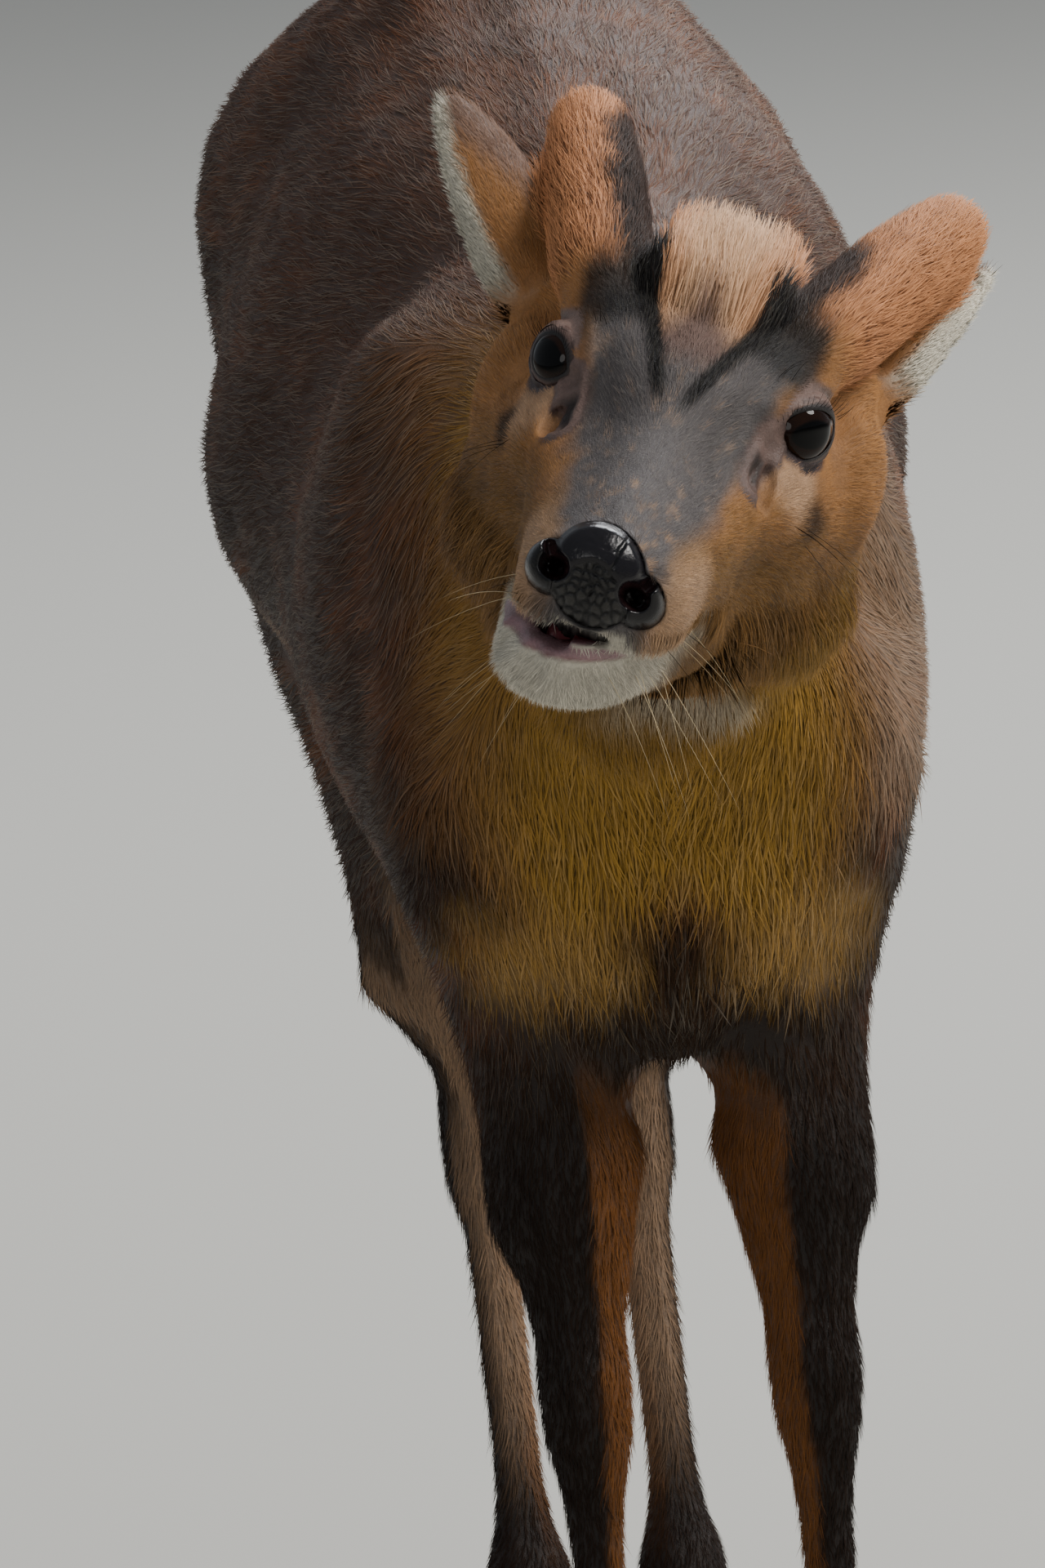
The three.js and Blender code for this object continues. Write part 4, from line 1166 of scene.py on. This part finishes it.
def finish_of(name, scale, contrast, bump, stretch=1.0, wet=None, **settings):
    """A material that takes its colour from the piece, with unevenness, bump and its own gloss.

    wet is the roughness where the piece's Wet value is 1.
    """
    material = bpy.data.materials.new(name)
    material.use_nodes = True
    tree = material.node_tree
    surface = tree.nodes["Principled BSDF"]
    for socket, value in settings.items():
        surface.inputs[socket.replace("_", " ")].default_value = value
    colour = add(tree, "ShaderNodeVertexColor", layer_name="Coat").outputs["Color"]
    evenness = {"Scale": scale, "Contrast": contrast, "Stretch": stretch}
    uneven = add(tree, "ShaderNodeGroup", node_tree=UNEVEN, Color=colour, **evenness)
    tree.links.new(uneven.outputs["Color"], surface.inputs["Base Color"])
    if wet:
        mask = add(tree, "ShaderNodeAttribute", attribute_name="Wet").outputs["Fac"]
        gloss = add(tree, "ShaderNodeMapRange", Value=mask)
        gloss.inputs["To Min"].default_value = settings["Roughness"]
        gloss.inputs["To Max"].default_value = wet
        tree.links.new(gloss.outputs["Result"], surface.inputs["Roughness"])
    if bump:
        height = uneven.outputs["Height"]
        relief = add(tree, "ShaderNodeBump", Height=height, Distance=bump * MM, Strength=1.0)
        tree.links.new(relief.outputs["Normal"], surface.inputs["Normal"])
    return material


HAIR = finish_of("hair", 900, 0.5, 0.05, Roughness=0.65, Specular_IOR_Level=0.14)
HIDE = finish_of("hide", 1400, 0.9, 0.35, wet=0.25, Roughness=0.6, Specular_IOR_Level=0.35)
LID_SKIN = finish_of("lid skin", 1800, 0.6, 0.25, Roughness=0.42, Specular_IOR_Level=0.45)
NOSE_SKIN = finish_of("wet nose", 1100, 0.5, 0.12, wet=0.12, Roughness=0.55, Specular_IOR_Level=0.32)
WET_MOUTH = finish_of("wet mouth", 1100, 0.5, 0.3, Roughness=0.3, Coat_Weight=0.5, Coat_Roughness=0.15)
EYE = finish_of("eye", 700, 0.8, 0.0, Roughness=0.05, Specular_IOR_Level=0.17)
HORN = finish_of("horn", 500, 0.9, 0.3, stretch=0.3, Roughness=0.45, Specular_IOR_Level=0.4)


# Eyes, lids and lashes

EYE_WHITE = paint("#c9ada0")
# The eyeball painted dark beyond the white sliver: painted shadow under the lids.
EYE_PAINTED_SHADOW = paint("#241714")
IRIS_EDGE = paint("#0a0504")
IRIS = paint("#1c0e07")
PUPIL = paint("#020202")
PUPIL_RADII = (6.4, 3.9)
CORNEA_RISE = 0.06
RIM_DARK = paint("#120b0a")
RIM_SKIN = paint("#5b463f")
RIM_LIFT = 0.35
RIM_THICK = 0.6
UPPER_THICKER = 0.45
RIM_SPREAD = 2.2
RIM_FLATNESS = 0.7
RIM_BEYOND = 1.0
LASH = paint("#0b0808")
LASH_WIDTH = 0.22


def seen_eye(s):
    """An eyeball with its cornea, long pupil, brown iris and a sliver of white."""
    bm = bmesh.new()
    bmesh.ops.create_icosphere(bm, subdivisions=6, radius=EYE_RADIUS)
    for vert in bm.verts:
        vert.co *= 1 + CORNEA_RISE * float(smooth(0.72, 0.95, vert.co.z / EYE_RADIUS))
    bm.transform(eye_frame(s))
    thing = object_from(f"eyeball_{SIDES[s]}", bm)
    x, y, z = local(coordinates(thing.data), eye_frame(s)).T
    off = np.hypot(x, y)
    pupil = np.hypot(x / PUPIL_RADII[0], y / PUPIL_RADII[1])
    colours = painted(
        EYE_WHITE,
        # painted shadow where the lids cover the eyeball
        (EYE_PAINTED_SHADOW, smooth(10.4, 11.0, off)),
        (IRIS_EDGE, smooth(9.9, 9.1, off) * (z > 0)),
        (IRIS, between(4.2, 8.6, off, 0.7) * (z > 0)),
        (PUPIL, smooth(1.1, 0.95, pupil) * (z > 0)),
    )
    coloured(thing, colours, EYE, "eye", f"eye_{SIDES[s]}")


def on_eye(s, turn, lift):
    """A place on the rim of an eye's opening, in the eye's frame."""
    x = EYELIDS_WIDE[s] * math.cos(turn)
    y = EYELIDS_HIGH[s] * math.sin(turn)
    y *= 1 - 0.28 * abs(math.cos(turn)) ** 3
    radius = EYE_RADIUS + lift
    return Vector((x, y, math.sqrt(radius * radius - x * x - y * y)))


def lid(s):
    """The rim of both lids, round the eye's opening: flat and wide, so that it runs in under the skin."""
    bm = bmesh.new()
    ring = 6
    made = bmesh.ops.create_circle(bm, segments=12, radius=1.0)
    bmesh.ops.rotate(bm, verts=bm.verts, cent=(0, 0, 0), matrix=Matrix.Rotation(math.pi / 2, 3, "X"))
    bmesh.ops.translate(bm, verts=bm.verts, vec=(ring, 0, 0))
    bmesh.ops.spin(
        bm,
        geom=[*made["verts"], *bm.edges],
        cent=(0, 0, 0),
        axis=UP,
        angle=2 * math.pi,
        steps=72,
        use_merge=True,
        use_duplicate=False,
    )
    for vert in bm.verts:
        turn = math.atan2(vert.co.y, vert.co.x)
        beside, above = vert.co.xy.length - ring, vert.co.z
        centre = on_eye(s, turn, RIM_LIFT)
        out = centre.normalized()
        away = Vector((math.cos(turn), math.sin(turn), 0))
        away = (away - out * away.dot(out)).normalized()
        thick = RIM_THICK + UPPER_THICKER * max(math.sin(turn), 0)
        outward = beside * thick * RIM_SPREAD + RIM_BEYOND
        vert.co = centre + away * outward + out * above * thick * RIM_FLATNESS
    bm.transform(eye_frame(s))
    bmesh.ops.recalc_face_normals(bm, faces=bm.faces)
    thing = object_from(f"lids_{SIDES[s]}", bm)
    beyond = opening_share(local(coordinates(thing.data), eye_frame(s)), s)
    coloured(thing, mixed(RIM_DARK, RIM_SKIN, smooth(1.0, 1.25, beyond)), LID_SKIN, "coat")


def lashes(s):
    """Dark lashes, longest at the outer half of the upper lid."""
    chance = np.random.default_rng(31 + s)
    turns = np.linspace(0.12, 0.93, 20) * math.pi
    roots, aims, lengths = [], [], []
    for turn in turns:
        outer = (1 + s * math.cos(turn)) / 2
        way = Vector((math.cos(turn) * 0.8, 0.45 + 0.4 * math.sin(turn), 0.75))
        roots.append(on_eye(s, turn, 1.2) * 1.04)
        aims.append(way + Vector(chance.normal(0, 0.1, 3)))
        lengths.append((2.5 + 4.5 * outer) * chance.uniform(0.8, 1.15) * MM)
    eye = eye_frame(s)
    droops = 0.25 * direction(np.tile((0, 1.0, -0.4), (len(turns), 1)), eye)
    roots, aims = world(np.array(roots), eye), direction(np.array(aims), eye)
    colours = np.tile(LASH, (len(turns), 1))
    bristles(f"lashes_{SIDES[s]}", roots, aims, droops, lengths, LASH_WIDTH * MM, colours)


# Nose, mouth and hooves

NOSE_DOME = paint("#151316")
NOSE_WING = paint("#0a090a")
NOSE_COBBLE = paint("#292724")
# The grooves between the cobbles, the middle groove and the dome's crease painted near black: painted shade
# in them.
NOSE_GROOVE_SHADE = paint("#030202")
NOSTRIL_RIM = paint("#2a1a1b")
# The inside of each nostril painted near black: painted shade in the hole.
NOSTRIL_SHADOW = paint("#080404")
HOOF = paint("#1d1916")
WORN_HOOF = paint("#4a4138")
HOOF_RING = 0.12
RING_STEP = 1.9


def cobbled(across, up, chance):
    """Rounded cells on a flat map: 0 in the grooves between them and 1 on their crowns."""
    steps = np.arange(-24, 24, COBBLE_MM)
    cells = np.array([(a, b) for a in steps for b in steps])
    cells += chance.uniform(-0.4, 0.4, cells.shape) * COBBLE_MM
    away = (across[:, None] - cells[:, 0]) ** 2 + (up[:, None] - cells[:, 1]) ** 2
    nearest = np.sqrt(np.partition(away, 1, axis=1)[:, :2])
    return smooth(0.1, 1.2, nearest[:, 1] - nearest[:, 0])


def nose_relief(across, up):
    """How far each place of the nose stands ahead, its colour and how wet it is."""
    edge = nose_edge(across, up)
    place = np.stack((np.abs(across) - NOSTRIL_PLACE[0], up - NOSTRIL_PLACE[1]), axis=1)
    beside, above = place.T
    hole = np.hypot(beside / NOSTRIL_RADII[0], above / NOSTRIL_RADII[1])
    tail, _ = along_line(place, (1.4, 2.4), (3.0, 5.0))
    pit = np.maximum(smooth(1.15, 0.55, hole), 0.6 * smooth(2.3, 0.6, tail))
    away = np.linalg.norm(place, axis=1) + 1e-6
    outer = smooth(0, 0.3, (0.97 * beside - 0.25 * above) / away)
    inner, rim = np.maximum(hole * 4 - 4, 0), np.maximum(-edge, 0)
    wing = outer * smooth(1.4, 2.8, tail) * smooth(11, 9, away)
    wing *= np.sqrt(4 * inner * rim / (inner + rim + 0.01) ** 2)
    line = 1.2 - 0.07 * across**2
    front = smooth(0.6, -0.6, up - line) * smooth(1.0, 1.5, hole) * (1 - smooth(0.05, 0.3, wing))
    dome = smooth(-0.6, 1.8, up - line) * smooth(2.0, 3.6, tail) * smooth(0, -2.5, edge) * (1 - wing)
    crowns = cobbled(across, up, np.random.default_rng(17))
    groove = front * smooth(1.2, 0.2, np.abs(across))
    flat = np.stack((across, up, 0 * up), axis=1) * MM
    crease = dome * smooth(0.8, 0.1, np.abs(across - 3.5 - 0.2 * up + 0.8 * noise(flat, 4, 3)))
    pores = dome * smooth(0.35, 0.8, noise(flat, 0.9, 9))
    ahead = NOSE_AHEAD - 0.028 * across**2 - 0.045 * (up - 2) ** 2
    ahead += WING_RISE * wing + DOME_RISE * dome + COBBLE_RISE * front * (crowns - 0.6)
    ahead -= GROOVE_DEEP * groove + CREASE_DEEP * crease + PORE_DEEP * pores
    ahead -= (
        NOSTRIL_DEEP * pit
        + 1.3 * smooth(-2.5, 0, edge) ** 2
        + 3.5 * smooth(0, 1.2, edge)
        + 4.5 * np.maximum(edge, 0)
    )
    colours = painted(
        NOSE_DOME,
        (NOSE_WING, wing),
        (NOSE_COBBLE, front * crowns),
        # painted shade in the grooves and the crease
        (NOSE_GROOVE_SHADE, np.maximum.reduce((front * (1 - crowns), crease, 0.8 * groove))),
        (NOSTRIL_RIM, smooth(0.08, 0.35, pit)),
        # painted shade deep in each nostril
        (NOSTRIL_SHADOW, smooth(0.6, 1.0, pit)),
    )
    return ahead, colours, 1 - 0.65 * front


def nose_sheet():
    """The nose's flat map as a closed slab: cut to its outline, raised to its relief and given a back."""
    bm = bmesh.new()
    columns, rows = int(2 * NOSE_WIDE / NOSE_STEP), int(2 * NOSE_HIGH / NOSE_STEP)
    bmesh.ops.create_grid(bm, x_segments=columns, y_segments=rows, size=1)
    bmesh.ops.scale(bm, vec=(NOSE_WIDE, NOSE_HIGH, 1), verts=bm.verts)
    across, up, _ = np.array([vert.co[:] for vert in bm.verts]).T
    outside = nose_edge(across, up) > NOSE_FLANGE
    bmesh.ops.delete(bm, geom=[vert for vert, out in zip(bm.verts, outside) if out], context="VERTS")
    across, up, _ = np.array([vert.co[:] for vert in bm.verts]).T
    for vert, ahead in zip(bm.verts, nose_relief(across, up)[0]):
        vert.co.z = ahead
    made = bmesh.ops.extrude_face_region(bm, geom=bm.faces)
    for part in made["geom"]:
        if isinstance(part, bmesh.types.BMVert):
            part.co.z -= NOSE_THICK
    bmesh.ops.recalc_face_normals(bm, faces=bm.faces)
    return object_from("nose_pad", bm)


def nose():
    """The wet nose: a smooth dome over a cobbled front, with a comma and a rounded wing for each nostril."""
    thing = nose_sheet()
    across, up, ahead = coordinates(thing.data).T
    _, colours, wet = nose_relief(across, up)
    height = up - NOSE_HEIGHT - NOSE_ROLL * across
    y = height * math.sin(NOSE_LEAN) - ahead * math.cos(NOSE_LEAN)
    z = height * math.cos(NOSE_LEAN) + ahead * math.sin(NOSE_LEAN)
    set_coordinates(thing.data, world(np.stack((across + NOSE_MIDDLE, y, z), axis=1)))
    coloured(thing, colours, NOSE_SKIN, "nose_skin", "nose")
    give_wetness(thing.data, wet)


def rounded_copy(name, nodes, voxel_mm, rounds):
    """The shape of CAD nodes, rounded."""
    return relaxed(remeshed(gathered(name, nodes, 0), voxel_mm), rounds)


def tongue():
    thing = rounded_copy("tongue_tip", ["tongue"], 0.8, 8)
    blotches = smooth(0, 1, noise(coordinates(thing.data), 5, 8))
    coloured(thing, mixed(TONGUE, MOUTH, blotches), WET_MOUTH, "mouth", "tongue")


def hooves(leg):
    """Two hooves and two dewclaws of one foot, with growth rings, paler where the sole has worn them."""
    parts = [f"{part}_{leg}_{side}" for part in ("hoof", "dewclaw") for side in ("left", "right")]
    thing = rounded_copy(f"hooves_{leg}", parts, 0.9, 4)
    rows = coordinates(thing.data)
    lowest = rows[:, 2].min()
    rows[:, 2] = np.maximum(rows[:, 2], 0.0)
    height = rows[:, 2] / MM
    waves = np.sin((rows[:, 2] - lowest) / MM * RING_STEP + noise(rows, 12, 9))
    rings = HOOF_RING * waves * smooth(2, 6, height)
    set_coordinates(thing.data, rows + normals_of(thing.data) * rings[:, None] * MM)
    worn = smooth(9, 1, height + 2 * noise(rows, 5, 9))
    coloured(thing, mixed(HOOF, WORN_HOOF, worn), HORN, "hoof", *parts)


# Whiskers

PALE_HAIR = paint("#cbb893")
DARK_HAIR = paint("#1a1210")
WHISKER_WIDTH = 0.2


def whisker_rows():
    """Where each whisker starts and its way out, both in the head's frame, its length and if it is pale."""
    rows = []
    for s in SIDES:
        for index in range(6):
            rows.append(((s * (8 + 2.2 * index), -74 + 5 * index, -62), (s * 0.6, 0.1, -0.8), 38, True))
        for index in range(5):
            start = (s * (19 + 0.8 * index), -84 + 6 * index, -44)
            rows.append((start, (s * 0.9, -0.1, -0.45), 30, index % 3 > 0))
        for index in range(4):
            rows.append(((s * 45, -14 + 4 * index, -22 - 2 * index), (s * 0.9, -0.2, -0.4), 26, False))
        for index in range(3):
            rows.append(((s * (25 + 3 * index), -8, 18), (s * 0.4, -0.6, 0.8), 18, False))
    return (np.array(column) for column in zip(*rows))


def whiskers(coat):
    """Long pale hairs on the chin and lips, dark ones on the cheeks and brows, rooted in the skin."""
    chance = np.random.default_rng(5)
    starts, ways, lengths, pale = whisker_rows()
    starts = world(starts + chance.normal(0, 1.5, starts.shape))
    tree = BVHTree.FromPolygons(coat.places.tolist(), [tuple(face.vertices) for face in coat.mesh.polygons])
    roots = np.array([tree.find_nearest(Vector(start))[0] for start in starts])
    aims = direction(ways + chance.normal(0, 0.16, starts.shape))
    droops = 0.32 * unit(np.array((0, 0.25, -1.0)) + chance.normal(0, 0.25, starts.shape))
    lengths = lengths * chance.uniform(0.7, 1.2, len(starts)) * MM
    colours = np.where(pale[:, None], PALE_HAIR, DARK_HAIR)
    bristles("whiskers", roots, aims, droops, lengths, WHISKER_WIDTH * MM, colours)


# The coat, piece by piece

SEEDS = {
    "face": 41,
    "ear": 43,
    "pedicle": 45,
    "neck": 47,
    "flank": 49,
    "crest": 51,
    "tail": 53,
    "chest": 55,
    "leg": 61,
    "ear fringe": 71,
    "lip": 75,
    "ruff": 79,
}
EAR_FRINGE = {"rings": BENT, "longer": 0.8, "rise": 0.8, "denser": 4.0, "soft": False}
LIP_FRINGE = {"rings": BENT, "longer": 2.6, "denser": 1.2}
CHEEK_RUFF = {"rings": BENT, "longer": 3.2, "rise": 3.2, "denser": 0.5}
CHEST_LOCKS = {"rings": BENT, "longer": 1.3, "rise": 1.6, "denser": 0.4}
TAIL_LOCKS = {"rings": BENT, "denser": 1.3, "soft": False}
NECK_MIDDLE = (0, 120, -60)
FLANK_SPLIT = 60


def head_coat(coat, s):
    """One side of the head: face, ear and its fringe, lip fringe, ruff under the cheek, and pedicle."""
    side, masks = SIDES[s], coat.masks
    x, y, z = coat.at_head.T
    left = smooth(-1, 1, x * 4)
    half = left if s > 0 else 1 - left
    head = world(HEAD_CORE), direction((0, 1.0, 0))
    face = masks["face"] * coat.rest * (1 - masks["crest"])
    coat.cover(f"face_coat_{side}", face * half, head, SEEDS["face"] + s, rise=0.8)
    ear = world(EAR_TIPS[s]), direction(ear_line(s))
    leaf = masks["ear"] * half
    coat.cover(f"ear_coat_{side}", leaf, ear, SEEDS["ear"] + s)
    _, forward, share = on_ear(coat.at_head, coat.normals, s)
    rim = ear_rim(leaf, forward, share) * between(0.3, 0.9, share, 0.08)
    aim = unit(ear_line(s)) + 0.5 * ear_forward(s)
    coat.cover(f"ear_fringe_{side}", rim, ear, SEEDS["ear fringe"] + s, aim=aim, **EAR_FRINGE)
    lip = between(MOUTH_ROOF, -41, z, 1.0) * smooth(-26, -34, y) * half * smooth(8, 14, s * x)
    coat.cover(f"lip_fringe_{side}", lip, head, SEEDS["lip"] + s, aim=(s * 0.35, 0.1, -1), **LIP_FRINGE)
    ruff = between(-76, -50, z, 6) * between(-20, 66, y, 8) * half * coat.rest
    coat.cover(f"cheek_ruff_{side}", ruff, head, SEEDS["ruff"] + s, aim=(s * 0.2, 0.5, -0.85), **CHEEK_RUFF)
    root, tip = pedicle_ends(s)
    rod = world(root), direction(tip - root)
    coat.cover(f"pedicle_coat_{side}", masks["pedicle"] * half, rod, SEEDS["pedicle"] + s, BENT)


def side_coat(coat, s):
    """One side of the neck and trunk, the trunk in a front and a rear piece."""
    side, masks = SIDES[s], coat.masks
    own = coat.inside == (s > 0)
    trunk = (1 - masks["face"]) * coat.rest * (1 - masks["leg"]) * (1 - masks["tail"])
    neck = world(NECK_MIDDLE), (0, 0.7, -0.7)
    coat.cover(f"neck_coat_{side}", trunk * masks["neck"] * own, neck, SEEDS["neck"] + s)
    flanks = trunk * (1 - masks["neck"]) * own
    front = coat.places[:, 1] / MM < FLANK_SPLIT
    for place, part in (("front", front), ("rear", ~front)):
        coat.cover(f"{place}_flank_coat_{side}", flanks * part, (TRUNK_CORE, (0, 1, 0)), SEEDS["flank"] + s)


def coat_pieces(coat):
    """Tufts over the whole skin, longer and bent where the coat stands out from the form."""
    for s in SIDES:
        head_coat(coat, s)
        side_coat(coat, s)
    masks, legs = coat.masks, coat.masks["leg"]
    crest = world(CREST_PLACE), direction((0, 1.0, 0))
    coat.cover("crest_coat", masks["crest"], crest, SEEDS["crest"], BENT)
    coat.cover("tail_coat", masks["tail"] * (1 - legs), (TAIL_CORE, UP), SEEDS["tail"], **TAIL_LOCKS)
    coat.cover("chest_tufts", masks["chest"] * (1 - legs), (CHEST_CORE, UP), SEEDS["chest"], **CHEST_LOCKS)
    ahead = coat.places[:, 1] < 0
    for index, leg in enumerate(LEGS):
        own = (ahead == ("front" in leg)) & (coat.inside == ("left" in leg))
        centre = sum(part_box(f"foot_{leg}"), Vector()) / 2
        coat.cover(f"leg_coat_{leg}", legs * own, (centre, UP), SEEDS["leg"] + index)


# The studio, with the view's angles in degrees and the camera's place from the head in millimetres

FLOOR_HALF = 40
FLOOR_TINT = paint("#b9b7b0")
SKY_TINT = (0.86, 0.92, 1.0, 1)
SKY_STRENGTH = 0.34
VIEW_HEIGHT = 9.0
VIEW_TURN = -6.5
VIEW_ROLL = 4.5
LENS_MM = 400
SENSOR_MM = 36
VIEW_FROM_HEAD = (44.6225, -108.477, 4884.33)


def floor():
    bm = bmesh.new()
    bmesh.ops.create_grid(bm, x_segments=8, y_segments=8, size=FLOOR_HALF)
    thing = object_from("floor", bm)
    material = bpy.data.materials.new("pale floor")
    material.use_nodes = True
    surface = material.node_tree.nodes["Principled BSDF"]
    surface.inputs["Base Color"].default_value = (*FLOOR_TINT, 1)
    surface.inputs["Roughness"].default_value = 0.9
    thing.data.materials.append(material)


def area_light(name, place, target, size, power, tint):
    lamp = bpy.data.lights.new(name, "AREA")
    lamp.shape = "DISK"
    lamp.size = size
    lamp.energy = power
    lamp.color = tint
    thing = new_object(name, lamp)
    thing.location = place
    thing.rotation_euler = (Vector(target) - Vector(place)).to_track_quat("-Z", "Y").to_euler()


def lights():
    """A soft sky with a key light from the animal's left, one from behind and a weak one in front."""
    soft_sky = bpy.data.worlds.new("soft sky")
    soft_sky.use_nodes = True
    sky = soft_sky.node_tree.nodes["Background"]
    sky.inputs["Color"].default_value = SKY_TINT
    sky.inputs["Strength"].default_value = SKY_STRENGTH
    bpy.context.scene.world = soft_sky
    area_light("key", (2.5, -1.0, 3.0), (0, -0.1, 0.4), 1.5, 140, (1.0, 0.97, 0.93))
    area_light("back", (1.6, 2.6, 3.0), (0, 0.1, 0.45), 1.8, 140, (0.95, 0.97, 1.0))
    area_light("fill", (-2.0, -3.4, 1.6), (0, -0.1, 0.35), 1.6, 18, (1.0, 0.98, 0.95))


def camera():
    """The photograph's view: where the head's origin is seen, how far off, and how the picture is turned."""
    height, turn, roll = (math.radians(angle) for angle in (VIEW_HEIGHT, VIEW_TURN, VIEW_ROLL))
    back = Vector((math.sin(turn) * math.cos(height), -math.cos(turn) * math.cos(height), math.sin(height)))
    right = (-back).cross(Vector((0, 0, 1))).normalized()
    up = right.cross(-back)
    across = right * math.cos(roll) - up * math.sin(roll)
    rise = up * math.cos(roll) + right * math.sin(roll)
    x, y, z = (value * MM for value in VIEW_FROM_HEAD)
    place = HEAD.translation - across * x + rise * y + back * z
    eye = bpy.data.cameras.new("camera")
    eye.lens = LENS_MM
    eye.sensor_width = SENSOR_MM
    eye.clip_end = 200
    thing = new_object("camera", eye)
    thing.matrix_world = Matrix.Translation(place) @ Matrix((across, rise, back)).transposed().to_4x4()
    bpy.context.scene.camera = thing


# The skin between the tufts takes the coat's colours darkened: painted shade deep in the coat.
SKIN_PAINTED_SHADE = 0.6
BARE_WETNESS = 0.6


def main():
    skin = whole_skin()
    coat = Coat(skin)
    bare = bare_colours(coat.at_head, coat.places)
    coloured(skin, mixed(coat.colours * SKIN_PAINTED_SHADE, bare, coat.bare), HIDE, "coat", *BODY_NODES, *HEAD_NODES)
    give_wetness(skin.data, coat.bare * np.maximum(mouth_mask(coat.at_head, coat.places), BARE_WETNESS))
    coat_pieces(coat)
    for s in SIDES:
        seen_eye(s)
        lid(s)
        lashes(s)
    nose()
    tongue()
    for leg in LEGS:
        hooves(leg)
    whiskers(coat)
    floor()
    lights()
    camera()


main()
